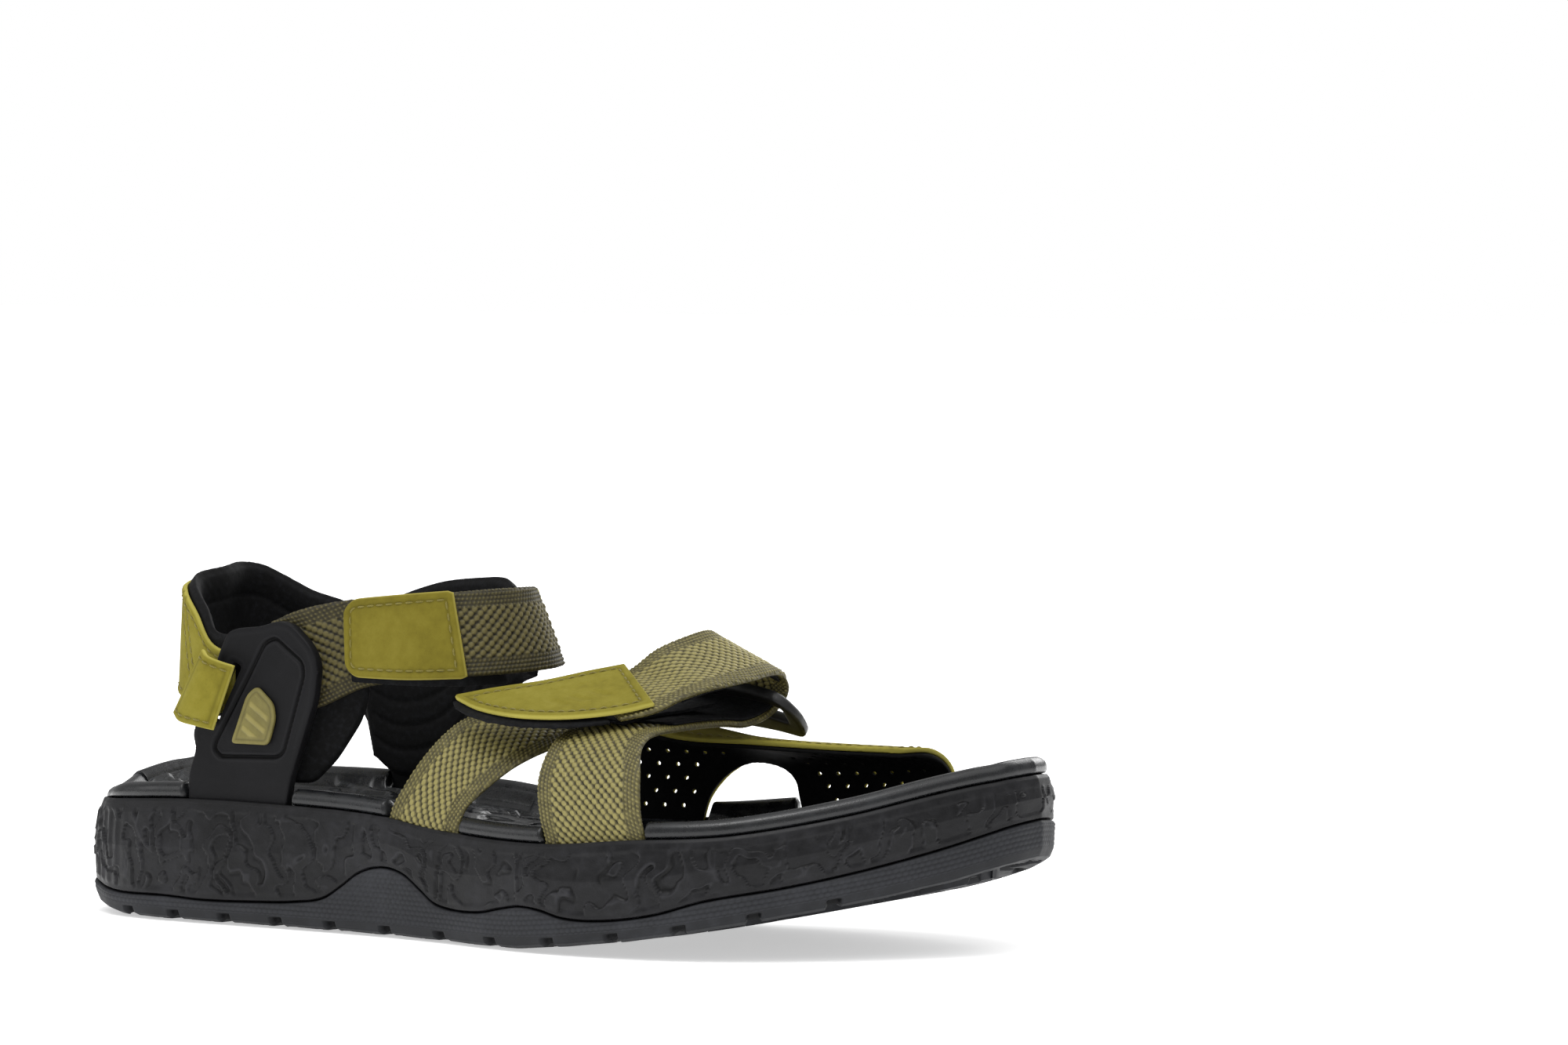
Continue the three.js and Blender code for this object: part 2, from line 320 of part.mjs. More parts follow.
const sheet = (g, d0, d1) => {
  const rings = g.map((row, i) => {
    const off = (d) => row.map((p, j) => V(p).addScaledVector(gridNormal(g, i, j), d).toArray());
    return [...off(d0), ...off(d1).reverse()];
  });
  const n = rings.length, m = rings[0].length, v = rings.flat(), f = [];
  for (let r = 0; r < n - 1; r++) for (let i = 0; i < m; i++) { const a = r * m + i, b = r * m + ((i + 1) % m), c = a + m, d = b + m; f.push([a, b, d], [a, d, c]); }
  for (const [o, flip] of [[0, false], [(n - 1) * m, true]]) for (let k = 0; k < m / 2 - 1; k++) {
    const q = [o + k, o + k + 1, o + m - 2 - k, o + m - 1 - k];
    f.push(flip ? [q[0], q[1], q[2]] : [q[0], q[2], q[1]], flip ? [q[0], q[2], q[3]] : [q[0], q[3], q[2]]);
  }
  return outward({ v, f });
};
const prism = (pts, y0, y1) => plate(pts, [], (x, z, w) => [x, w ? y1 : y0, z]);
const panelEdge = smoothLoop([[132, 10], [131, 40], [129.4, 54], [132, 66], [142, 74], [170, 80], [226, 80], [236, 60], [250, 54.4], [255, 48], [254.6, 36], [255, 10], [190, 0]], 60);
const arch = smoothLoop([[177, 10], [177.6, 33], [182.6, 42.4], [191.6, 47], [200.6, 45.4], [205.6, 38], [206.6, 10], [192, -4]], 40);
const medialPanel = cut(keep(sheet(panelGrid, 0, LEATHER), prism(panelEdge, 0, 70)), prism(arch, 0, 70));
const panelLining = cut(keep(sheet(panelGrid, -GAP - 1.0, -GAP), prism(panelEdge, 0, 70)), prism(arch, 0, 70));

// ---------- instep ring, a moulded plate with a strap slot ----------
const ringO = V([187, 31.6, 61.9]), ringU = V([0.985, 0.02, -0.07]).normalize();
const ringN = V([0.1, 0.65, 0.76]); ringN.addScaledVector(ringU, -ringN.dot(ringU)).normalize();
const ringW = new THREE.Vector3().crossVectors(ringU, ringN).normalize();     // up towards the instep
const ringBend = (u) => -0.006 * Math.max(0, u - 6) ** 2;
const ringPlace = (u, v, w) => ringO.clone().addScaledVector(ringU, u).addScaledVector(ringW, v).addScaledVector(ringN, (w ? 0 : 3.4)).add(V([0, 0, ringBend(u)])).toArray();
const ringRows = [[-42, -1.6, 4], [-20, 13, 6], [4, 13, 0.5], [12, 13, 0.5], [24, 13, 5], [28.4, 6, 4], [27.6, -4, 4], [12, -5.5, 4], [-40, -4.4, 3]];
const instepRing = plate(chamfer(ringRows, 3), [chamfer([[-11.4, 2], [-11.4, 8.8], [23.6, 8.8], [23.6, 2]], 1)], ringPlace);

// ---------- pockets in the footbed for everything that stands in the sole ----------
const box = (x0, x1, y0, y1, z0, z1) => plate([[x0, z0], [x1, z0], [x1, z1], [x0, z1]], [], (x, z, w) => [x, w ? y1 : y0, z]);
const wallPocket = (x0, x1, edge, inward, depth, zlow) => {    // slot along the rim
  const n = 4, A = [], B = [];
  for (let i = 0; i <= n; i++) { const x = x0 + ((x1 - x0) * i) / n; A.push([x, edge(x) + inward * depth / 2, zlow]); B.push([x, edge(x) + inward * depth / 2, zlow + 26]); }
  return ribbon(ribbonRows(A, B, n), depth + 5.2, { side: 1, shift: -inward * 1.6 });
};
const panelSlot = keep(sheet(panelGrid.map((row) => row.map((p, j) => (j ? p : [p[0], p[1], p[2] - 1.2]))), -1.9, LEATHER + 0.7), prism([[126, 10], [126, 46], [260, 52], [260, 10]], 0, 70));
midsole = cut(midsole, strapA.tight, strapB.tight, panelSlot);
footbed = cut(footbed, panelSlot, strapA.pocket, strapB.pocket,
  wallPocket(44.9, 83.6, edgeLat, 1, PLATE, 24),
  wallPocket(71.4, 105, edgeMed, -1, PLATE, 24),
  wallPocket(128, 178.4, edgeMed, -1, LEATHER + 1.6, 20), wallPocket(205.6, 257, edgeMed, -1, LEATHER + 1.6, 20));

// ---------- scene graph ----------
const sandal = new THREE.Group();
sandal.position.set(-X0 - L / 2, -CENTRE_Y, 0);
const mat = (color, roughness, metalness = 0) => new THREE.MeshStandardMaterial({ color, roughness, metalness });
const RUBBER = '#2b2c2e', FOAM = '#313234', BED = '#2c2d2f', MOULD = '#2f3032', HIDE = '#8f8a4c', TAPE = '#85805a', KNIT = '#1b1c20', PILE = '#16181d';
const add = (name, s, m) => {
  const g = new THREE.BufferGeometry();
  g.setAttribute('position', new THREE.BufferAttribute(new Float32Array(s.v.flat()), 3));
  g.setIndex(s.f.flat());
  g.computeVertexNormals();
  const mesh = new THREE.Mesh(g, m);
  mesh.name = name;
  sandal.add(mesh);
};
add('outsole', outsole, mat(RUBBER, 0.75));
add('midsole', midsole, mat(FOAM, 0.8));
add('heel_cushion_unit', heelCushion, mat('#5a6068', 0.4));
add('footbed', footbed, mat(BED, 0.5));
add('lateral_quarter', lateralQuarter, mat(MOULD, 0.6));
add('lateral_quarter_badge', badge, mat(HIDE, 0.6));
add('lateral_quarter_pad', latPad, mat(KNIT, 0.95));
add('medial_quarter', medialQuarter, mat(MOULD, 0.6));
add('medial_wing_pad', medialWing, mat(KNIT, 0.95));
add('heel_sling_leather', heelSling, mat(HIDE, 0.85));
add('heel_sling_lining', slingLining, mat(KNIT, 0.95));
add('lateral_sling_loop', latLoop, mat(HIDE, 0.85));
add('medial_sling_loop', medLoop, mat(HIDE, 0.85));
add('ankle_strap_webbing', ankleWebbing, mat(TAPE, 0.9));
add('ankle_front_patch', frontPatch, mat(HIDE, 0.85));
add('ankle_closure_webbing', ankleClosure, mat(TAPE, 0.9));
add('ankle_closure_tab', ankleTab, mat(HIDE, 0.85));
add('ankle_closure_hook', ankleHook, mat(PILE, 0.95));
add('ankle_anchor_webbing', ankleAnchor, mat(TAPE, 0.9));
add('ankle_anchor_pile', anklePile, mat(PILE, 0.95));
add('forefoot_strap_rear', strapA.solid, mat(TAPE, 0.9));
add('forefoot_strap_front', strapB.solid, mat(TAPE, 0.9));
add('instep_pile_pad', instepPile, mat(PILE, 0.95));
add('instep_closure_webbing', instepClosure, mat(TAPE, 0.9));
add('instep_closure_tab', instepTab, mat(HIDE, 0.85));
add('instep_closure_hook', instepHook, mat(PILE, 0.95));
add('medial_panel', medialPanel, mat(HIDE, 0.85));
add('medial_panel_lining', panelLining, mat(KNIT, 0.95));
add('instep_ring', instepRing, mat(MOULD, 0.55));

export default sandal;
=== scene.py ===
import json
import math
import numpy as np
import bpy
from mathutils import Matrix, Vector

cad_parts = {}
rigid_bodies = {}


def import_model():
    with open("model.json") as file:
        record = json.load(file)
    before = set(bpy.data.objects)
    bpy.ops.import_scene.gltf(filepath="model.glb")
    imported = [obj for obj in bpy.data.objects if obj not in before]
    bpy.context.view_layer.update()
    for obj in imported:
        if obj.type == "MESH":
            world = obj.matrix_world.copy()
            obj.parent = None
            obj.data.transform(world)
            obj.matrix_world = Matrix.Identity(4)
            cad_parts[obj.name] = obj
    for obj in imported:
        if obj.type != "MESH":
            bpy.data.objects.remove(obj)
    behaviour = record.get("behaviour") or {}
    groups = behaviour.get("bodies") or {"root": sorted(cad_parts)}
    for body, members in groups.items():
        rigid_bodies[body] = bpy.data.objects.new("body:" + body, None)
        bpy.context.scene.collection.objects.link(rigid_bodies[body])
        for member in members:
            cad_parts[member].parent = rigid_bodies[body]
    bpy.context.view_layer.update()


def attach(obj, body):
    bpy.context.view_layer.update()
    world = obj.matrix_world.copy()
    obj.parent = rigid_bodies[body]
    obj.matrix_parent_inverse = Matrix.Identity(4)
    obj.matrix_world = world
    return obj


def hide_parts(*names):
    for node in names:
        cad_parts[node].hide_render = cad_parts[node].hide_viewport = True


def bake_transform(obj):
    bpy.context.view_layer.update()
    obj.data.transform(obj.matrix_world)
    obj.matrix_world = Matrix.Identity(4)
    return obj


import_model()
FINE = 1.0

# ------------------------------------------------------------------ numbers
# Shoe frame: millimetres, x heel to toe, y medial +, z up.
CX, CY = 149.25, -0.81
OFF = np.array([-CX, -CY, 0.0])


def row(p):
    """shoe millimetres to row metres"""
    return (np.asarray(p, float) + OFF) / 1000.0


def interp(tab, x):
    """the same smooth curve the sole is made of, for arrays"""
    tab = np.asarray(tab, float)
    X, Y = tab[:, 0], tab[:, 1]
    x = np.asarray(x, float)
    d = np.diff(Y) / np.diff(X)
    m = np.empty(len(X))
    m[0], m[-1] = d[0], d[-1]
    m[1:-1] = (d[:-1] + d[1:]) / 2
    i = np.clip(np.searchsorted(X, x, side="left") - 1, 0, len(X) - 2)
    h = X[i + 1] - X[i]
    t = np.clip((x - X[i]) / h, 0, 1)
    t2, t3 = t * t, t * t * t
    return (Y[i] * (2 * t3 - 3 * t2 + 1) + m[i] * h * (t3 - 2 * t2 + t)
            + Y[i + 1] * (3 * t2 - 2 * t3) + m[i + 1] * h * (t3 - t2))


X0, LEN, RIM = -2.5, 303.5, 4.8
TOP = [[0, 33], [43, 35.6], [77, 35.6], [115, 34.3], [138, 31.6], [180, 30.6], [209, 33], [238, 34.9], [266, 40.4], [288, 47], [301, 50]]
BOTTOM = [[0, 3.4], [10, 1.2], [20, 0.1], [30, 0], [90, 0], [160, 0], [170, 0.3], [180, 1.2], [209, 4.6], [227, 7.4], [241, 10], [269, 16], [285, 20.4], [301, 26]]
WAVE = [[0, 7], [20, 6.8], [39, 7], [52, 6.5], [73, 7], [86, 7.8], [96.7, 9.6], [103.3, 13.4], [109, 17.2], [114.7, 19.2], [120.7, 19.5], [126.8, 17.9], [132.8, 14.2], [138, 10.9], [144, 9.6], [156, 9.6], [166, 11.4], [172, 12], [180, 10.6], [187, 8.3], [197, 6.8], [217, 6.7], [231, 8.5], [250, 8.5], [265, 9], [301, 11.5]]
LAT = [[-2.5, 0], [1.4, -16.5], [10, -27.4], [25, -34.2], [43, -36.6], [77, -37.8], [115, -40.6], [138, -44.6], [160, -50.4], [180, -54.2], [205, -54.8], [222, -52.4], [238, -46.6], [254, -37], [270, -24.6], [284, -10.6], [293, -1], [299, 8], [301, 17]]
MED = [[-2.5, 0], [1.4, 16.5], [10, 27.2], [25, 34], [43, 36.6], [72, 38.4], [115, 37.6], [145, 38.6], [170, 42.4], [195, 48], [220, 52.2], [245, 53.4], [262, 51.6], [276, 47.4], [287, 41.4], [295, 33.6], [299, 26.6], [301, 17]]


def zt(x): return interp(TOP, x)
def zb(x): return np.maximum(0, interp(BOTTOM, x))
def zi(x): return zb(x) + interp(WAVE, x)
def edge_lat(x): return interp(LAT, x) + 3.6
def edge_med(x): return interp(MED, x) - 3.6


def unit(v):
    v = np.asarray(v, float)
    n = np.linalg.norm(v, axis=-1, keepdims=True)
    return v / np.maximum(n, 1e-9)


def smooth01(t):
    t = np.clip(t, 0, 1)
    return t * t * (3 - 2 * t)


# ------------------------------------------------------------------ noise, all in numpy and seeded
def hash2(i, j, seed=0):
    h = np.sin(i * 127.1 + j * 311.7 + seed * 74.7) * 43758.5453
    return h - np.floor(h)


def vnoise(x, y, seed=0):
    xi, yi = np.floor(x), np.floor(y)
    fx, fy = x - xi, y - yi
    fx, fy = fx * fx * (3 - 2 * fx), fy * fy * (3 - 2 * fy)
    a, b = hash2(xi, yi, seed), hash2(xi + 1, yi, seed)
    c, d = hash2(xi, yi + 1, seed), hash2(xi + 1, yi + 1, seed)
    return (a * (1 - fx) + b * fx) * (1 - fy) + (c * (1 - fx) + d * fx) * fy


def fbm(x, y, seed=0, octaves=3):
    s, a, t = 0, 0.5, 0
    for k in range(octaves):
        s = s + a * vnoise(x * 2 ** k, y * 2 ** k, seed + k * 13)
        t += a
        a *= 0.5
    return s / t


# ------------------------------------------------------------------ curves
def catmull(pts, n):
    """centripetal Catmull-Rom through pts, n+1 points, like the one the solids use"""
    P = np.asarray(pts, float)
    m = len(P)
    out = np.empty((n + 1, P.shape[1]))
    for k in range(n + 1):
        p = k / n * (m - 1)
        i = min(int(math.floor(p)), m - 2)
        w = p - i
        p1, p2 = P[i], P[i + 1]
        p0 = P[i - 1] if i > 0 else 2 * P[0] - P[1]
        p3 = P[i + 2] if i + 2 < m else 2 * P[-1] - P[-2]
        d0 = max(np.sum((p0 - p1) ** 2) ** 0.25, 1e-4)
        d1 = max(np.sum((p1 - p2) ** 2) ** 0.25, 1e-4)
        d2 = max(np.sum((p2 - p3) ** 2) ** 0.25, 1e-4)
        t1 = ((p1 - p0) / d0 - (p2 - p0) / (d0 + d1) + (p2 - p1) / d1) * d1
        t2 = ((p2 - p1) / d1 - (p3 - p1) / (d1 + d2) + (p3 - p2) / d2) * d1
        out[k] = (p1 + t1 * w + (-3 * p1 + 3 * p2 - 2 * t1 - t2) * w * w
                  + (2 * p1 - 2 * p2 + t1 + t2) * w ** 3)
    return out


class Band:
    """surface between two edge lines: at(s, t) with s along 0..1 and t across 0..1, and its normal"""

    def __init__(self, A, B, side=1, n=160):
        self.A, self.B = catmull(A, n), catmull(B, n)
        self.n = n
        mid = (self.A + self.B) / 2
        self.length = np.concatenate([[0], np.cumsum(np.linalg.norm(np.diff(mid, axis=0), axis=1))])
        w = unit(self.B - self.A)
        tan = unit(np.gradient(mid, axis=0))
        self.N = unit(np.cross(w, tan)) * side
        self.width = np.linalg.norm(self.B - self.A, axis=1)
        self.total = self.length[-1]

    def _pick(self, arr, s):
        x = np.clip(s, 0, 1) * self.total
        i = np.clip(np.searchsorted(self.length, x, side="right") - 1, 0, self.n - 1)
        f = (x - self.length[i]) / np.maximum(self.length[i + 1] - self.length[i], 1e-9)
        if arr.ndim == 2:
            f = f[..., None]
        return arr[i] * (1 - f) + arr[i + 1] * f

    def at(self, s, t, h=0):
        s, t = np.broadcast_arrays(np.asarray(s, float), np.asarray(t, float))
        a, b, nn = self._pick(self.A, s), self._pick(self.B, s), unit(self._pick(self.N, s))
        return a * (1 - t[..., None]) + b * t[..., None] + nn * np.asarray(h, float)[..., None]

    def wide(self, s):
        return self._pick(self.width, np.asarray(s, float))


# ------------------------------------------------------------------ mesh makers
def obj_from(name, v, faces, mat, smooth=True):
    me = bpy.data.meshes.new(name)
    v = np.asarray(v, np.float32)
    me.vertices.add(len(v))
    me.vertices.foreach_set("co", v.ravel())
    if isinstance(faces, np.ndarray):
        k = faces.shape[1]
        me.loops.add(faces.size)
        me.loops.foreach_set("vertex_index", faces.ravel().astype(np.int32))
        me.polygons.add(len(faces))
        me.polygons.foreach_set("loop_start", (np.arange(len(faces)) * k).astype(np.int32))
        me.polygons.foreach_set("loop_total", np.full(len(faces), k, np.int32))
        me.update(calc_edges=True)
    else:
        bpy.data.meshes.remove(me)
        me = bpy.data.meshes.new(name)
        me.from_pydata([tuple(p) for p in v], [], [tuple(int(i) for i in f) for f in faces])
    me.validate()
    me.update()
    me.polygons.foreach_set("use_smooth", [smooth] * len(me.polygons))
    ob = bpy.data.objects.new(name, me)
    bpy.context.scene.collection.objects.link(ob)
    for m in (mat if isinstance(mat, (list, tuple)) else [mat]):
        me.materials.append(m)
    return ob


def set_uv(ob, uv_per_vertex, name="UVMap"):
    me = ob.data
    lay = me.uv_layers.new(name=name)
    idx = np.empty(len(me.loops), np.int32)
    me.loops.foreach_get("vertex_index", idx)
    uv = np.asarray(uv_per_vertex, np.float32)[idx]
    lay.data.foreach_set("uv", uv.ravel())
    return ob


def set_attr(ob, name, values):
    a = ob.data.attributes.new(name, "FLOAT", "POINT")
    a.data.foreach_set("value", np.asarray(values, np.float32))


def grid_faces(nr, nc, wrap_c=False, offset=0, flip=False):
    r = np.arange(nr - 1)[:, None]
    c = np.arange(nc if wrap_c else nc - 1)[None, :]
    a = r * nc + c
    b = r * nc + (c + 1) % nc
    f = np.stack([a, b, b + nc, a + nc], -1).reshape(-1, 4) + offset
    return f[:, ::-1] if flip else f


def volume_sign(v, f):
    a, b, c = v[f[:, 0]], v[f[:, 1]], v[f[:, 2]]
    s = np.einsum("ij,ij->i", a, np.cross(b, c)).sum()
    if f.shape[1] == 4:
        d = v[f[:, 3]]
        s += np.einsum("ij,ij->i", a, np.cross(c, d)).sum()
    return s


def slab(name, P_out, P_in, mat, edge_round=0.35, uv=None, steps=3):
    """closed piece between two grids (rows x cols x 3, row metres) with rounded edges all round"""
    nr, nc = P_out.shape[:2]
    ring_o = np.concatenate([np.arange(nc), np.arange(1, nr) * nc + nc - 1,
                             (nr - 1) * nc + np.arange(nc - 2, -1, -1), np.arange(nr - 2, 0, -1) * nc])
    vo, vi = P_out.reshape(-1, 3), P_in.reshape(-1, 3)
    n = nr * nc
    verts = [vo, vi]
    faces = [grid_faces(nr, nc), grid_faces(nr, nc, offset=n, flip=True)]
    # edge wall with a bulge
    mid = (P_out + P_in) / 2
    cen_row = mid.mean(axis=1, keepdims=True)
    prev = ring_o
    count = 2 * n
    rim_o, rim_i = vo[ring_o], vi[ring_o]
    # outward direction on the rim, from the grid's own neighbours
    flat = mid
    du = np.gradient(flat, axis=0)
    dv = np.gradient(flat, axis=1)
    du, dv = unit(du), unit(dv)
    out = np.zeros_like(flat)
    out[0] -= du[0]
    out[-1] += du[-1]
    out[:, 0] -= dv[:, 0]
    out[:, -1] += dv[:, -1]
    od = unit(out.reshape(-1, 3)[ring_o])
    th = np.linalg.norm(rim_o - rim_i, axis=1, keepdims=True)
    for k in range(1, steps + 1):
        a = math.pi * k / (steps + 1)
        m = (rim_o + rim_i) / 2 + (rim_o - rim_i) / 2 * math.cos(a) + od * th * edge_round * math.sin(a)
        verts.append(m)
        cur = count + np.arange(len(ring_o))
        nx = np.roll(np.arange(len(ring_o)), -1)
        faces.append(np.stack([prev, cur, cur[nx], prev[nx]], -1))
        prev = cur
        count += len(ring_o)
    nx = np.roll(np.arange(len(ring_o)), -1)
    last = ring_o + n
    faces.append(np.stack([prev, last, last[nx], prev[nx]], -1))
    v = np.concatenate(verts)
    f = np.concatenate(faces)
    if volume_sign(v, f) < 0:
        f = f[:, ::-1]
    ob = obj_from(name, v, f, mat)
    if uv is not None:
        u = np.zeros((len(v), 2))
        u[:n] = uv.reshape(-1, 2)
        u[n:2 * n] = uv.reshape(-1, 2)
        ru = uv.reshape(-1, 2)[ring_o]
        for k in range(steps):
            u[2 * n + k * len(ring_o):2 * n + (k + 1) * len(ring_o)] = ru
        set_uv(ob, u)
    return ob


def ride(ob, node=None, body="sandal"):
    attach(ob, body)
    if node:
        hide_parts(*([node] if isinstance(node, str) else node))
    return ob


# ------------------------------------------------------------------ materials
def srgb(r, g, b):
    def f(c):
        c = c / 255.0
        return c / 12.92 if c <= 0.04045 else ((c + 0.055) / 1.055) ** 2.4
    return (f(r), f(g), f(b), 1.0)


class Mat:
    def __init__(self, name):
        self.m = bpy.data.materials.new(name)
        self.m.use_nodes = True
        self.t = self.m.node_tree
        self.t.nodes.clear()
        self.out = self.t.nodes.new("ShaderNodeOutputMaterial")
        self.b = self.t.nodes.new("ShaderNodeBsdfPrincipled")
        self.t.links.new(self.b.outputs[0], self.out.inputs[0])
        self.co = self.t.nodes.new("ShaderNodeTexCoord")

    def n(self, kind, **kw):
        nd = self.t.nodes.new(kind)
        for k, v in kw.items():
            setattr(nd, k, v)
        return nd

    def link(self, a, b):
        self.t.links.new(a, b)

    def noise(self, scale, detail=3, rough=0.55, vec=None, dist=0.0):
        nd = self.n("ShaderNodeTexNoise")
        nd.inputs["Scale"].default_value = scale
        nd.inputs["Detail"].default_value = detail
        nd.inputs["Roughness"].default_value = rough
        nd.inputs["Distortion"].default_value = dist
        self.link(vec or self.co.outputs["Object"], nd.inputs["Vector"])
        return nd.outputs["Fac"]

    def voronoi(self, scale, feature="F1", vec=None):
        nd = self.n("ShaderNodeTexVoronoi", feature=feature)
        nd.inputs["Scale"].default_value = scale
        self.link(vec or self.co.outputs["Object"], nd.inputs["Vector"])
        return nd.outputs["Distance"]

    def ramp(self, fac, stops):
        nd = self.n("ShaderNodeValToRGB")
        r = nd.color_ramp
        while len(r.elements) < len(stops):
            r.elements.new(0.5)
        for e, (p, c) in zip(r.elements, stops):
            e.position = p
            e.color = c if len(c) == 4 else (*c, 1)
        self.link(fac, nd.inputs[0])
        return nd.outputs[0]

    def math(self, op, a, b=None, c=None, clamp=False):
        nd = self.n("ShaderNodeMath", operation=op, use_clamp=clamp)
        for i, x in enumerate((a, b, c)):
            if x is None:
                continue
            if isinstance(x, (int, float)):
                nd.inputs[i].default_value = x
            else:
                self.link(x, nd.inputs[i])
        return nd.outputs[0]

    def mix(self, fac, a, b, blend="MIX"):
        nd = self.n("ShaderNodeMix", data_type="RGBA", blend_type=blend)
        for i, x in ((0, fac), (6, a), (7, b)):
            if isinstance(x, (int, float)):
                nd.inputs[i].default_value = x
            elif isinstance(x, (tuple, list)):
                nd.inputs[i].default_value = x
            else:
                self.link(x, nd.inputs[i])
        return nd.outputs[2]

    def attr(self, name):
        nd = self.n("ShaderNodeAttribute", attribute_name=name)
        return nd.outputs["Fac"]

    def bump(self, height, strength=0.3, distance=0.001, chain=None):
        nd = self.n("ShaderNodeBump")
        nd.inputs["Strength"].default_value = strength
        nd.inputs["Distance"].default_value = distance
        self.link(height, nd.inputs["Height"])
        if chain is not None:
            self.link(chain, nd.inputs["Normal"])
        return nd.outputs[0]

    def set(self, **kw):
        for k, v in kw.items():
            sock = self.b.inputs[k.replace("_", " ")]
            if isinstance(v, (int, float, tuple, list)):
                sock.default_value = v
            else:
                self.link(v, sock)
        return self


def fabric_mat(name, base, dark, light, scale=1.0, sheen=0.35, hair=True, rough=0.9, height_attr=None, tone=False, hollow_shade=0.85, spec=0.22):
    """yarn: colour differs from yarn to yarn, painted shade in the hollows, a painted highlight on the knot crowns when
    tone is set, fine fibre bump
    """
    m = Mat(name)
    big = m.noise(60, 2, 0.5)
    fine = m.noise(2600 * scale, 4, 0.7)
    mid = m.noise(520 * scale, 3, 0.6)
    col = m.ramp(mid, [(0.28, dark), (0.5, base), (0.74, light)])
    col = m.mix(m.math("MULTIPLY", m.math("SUBTRACT", big, 0.5), 0.5), col, light)
    col = m.mix(m.math("MULTIPLY", fine, 0.35), col, dark)
    if height_attr:
        h = m.attr(height_attr)
        # painted shade: the lower the yarn lies, the more its colour is darkened, by the hollow strength below
        inv = m.math("POWER", m.math("SUBTRACT", 1.0, h, clamp=True), 0.8)
        # random tone per knot (the yarn's own colour), then a painted highlight on the top of each knot
        if tone:
            col = m.mix(m.math("MULTIPLY", m.attr("tone"), 0.30), col, light)
            crown_highlight = m.math("POWER", m.math("MULTIPLY", h, 1.0, clamp=True), 7.0)
            col = m.mix(m.math("MULTIPLY", crown_highlight, 0.6), col, tuple(min(1, c * 1.5) for c in light[:3]) + (1,))
        col = m.mix(m.math("MULTIPLY", inv, hollow_shade), col, tuple(c * 0.22 for c in dark[:3]) + (1,))
    bumpn = m.bump(fine, 0.55, 0.00016)
    bumpn = m.bump(mid, 0.3, 0.0003, bumpn)
    m.set(Base_Color=col, Roughness=rough, Normal=bumpn)
    m.b.inputs["Specular IOR Level"].default_value = spec
    m.b.inputs["Sheen Weight"].default_value = sheen
    m.b.inputs["Sheen Roughness"].default_value = 0.5
    m.b.inputs["Sheen Tint"].default_value = light
    return m.m


def leather_mat(name, base, dark, light, sheen=0.4, tooth=1.0):
    """nubuck: fine nap, soft mottling, darker small pores, paler scuffed edges, painted shade in the stitch and seam
    grooves
    """
    m = Mat(name)
    big = m.noise(45, 4, 0.6)
    mot = m.noise(240, 4, 0.65)
    nap = m.noise(3400, 3, 0.75)
    pores = m.voronoi(1150)
    col = m.ramp(m.math("ADD", m.math("MULTIPLY", big, 0.55), m.math("MULTIPLY", mot, 0.45)), [(0.3, dark), (0.5, base), (0.72, light)])
    pore = m.ramp(pores, [(0.0, (0.4, 0.4, 0.4, 1)), (0.28, (1, 1, 1, 1))])
    col = m.mix(0.28, col, m.mix(1.0, col, pore, "MULTIPLY"))
    col = m.mix(m.math("MULTIPLY", nap, 0.3), col, dark)
    edge = m.attr("edge")
    col = m.mix(m.math("MULTIPLY", edge, 0.75), col, tuple(min(1, c * 1.7 + 0.03) for c in light[:3]) + (1,))
    # painted shade: darker in the pressed stitch and seam grooves
    col = m.mix(m.math("MULTIPLY", m.attr("seam_groove_shade"), 0.8), col, tuple(c * 0.35 for c in dark[:3]) + (1,))
    b = m.bump(pores, 0.12 * tooth, 0.0002)
    b = m.bump(nap, 0.35 * tooth, 0.00012, b)
    b = m.bump(mot, 0.18 * tooth, 0.0004, b)
    m.set(Base_Color=col, Roughness=0.88, Normal=b)
    m.b.inputs["Specular IOR Level"].default_value = 0.2
    m.b.inputs["Sheen Weight"].default_value = sheen
    m.b.inputs["Sheen Roughness"].default_value = 0.45
    m.b.inputs["Sheen Tint"].default_value = light
    return m.m


def rubber_mat(name, base, dark, light, rough=(0.5, 0.68), grain=2200, grain_depth=0.00012, dust=0.25, spec=0.4, smear=0.0, cavity=True):
    """moulded rubber or foam: fine moulded grain, slight bloom, painted shade in the grooves and painted highlight on
    the ridges
    """
    m = Mat(name)
    big = m.noise(38, 4, 0.6)
    mid = m.noise(300, 4, 0.6)
    fine = m.noise(grain, 3, 0.6)
    col = m.ramp(m.math("ADD", m.math("MULTIPLY", big, 0.6), m.math("MULTIPLY", mid, 0.4)), [(0.32, dark), (0.52, base), (0.72, light)])
    speck = m.ramp(m.noise(1500, 2, 0.5), [(0.0, (0, 0, 0, 1)), (0.7, (0, 0, 0, 1)), (0.82, (1, 1, 1, 1))])
    col = m.mix(m.math("MULTIPLY", speck, dust), col, tuple(min(1, c * 1.8) for c in light[:3]) + (1,))
    # cavity: painted shade from the groove attribute, painted highlight from the ridge attribute
    if cavity:
        h = m.attr("groove")
        col = m.mix(m.math("MULTIPLY", h, 0.9, clamp=True), col, tuple(c * 0.25 for c in dark[:3]) + (1,))
        r = m.attr("ridge")
        col = m.mix(m.math("MULTIPLY", r, 0.7, clamp=True), col, tuple(min(1, c * 2.2) for c in light[:3]) + (1,))
    rr = m.n("ShaderNodeMapRange")
    rr.inputs["From Min"].default_value = 0.3
    rr.inputs["From Max"].default_value = 0.7
    rr.inputs["To Min"].default_value = rough[0]
    rr.inputs["To Max"].default_value = rough[1]
    m.link(mid, rr.inputs["Value"])
    b = m.bump(fine, 0.35, grain_depth)
    b = m.bump(mid, 0.15, 0.0003, b)
    m.set(Base_Color=col, Roughness=rr.outputs[0], Normal=b)
    m.b.inputs["Specular IOR Level"].default_value = spec
    return m.m


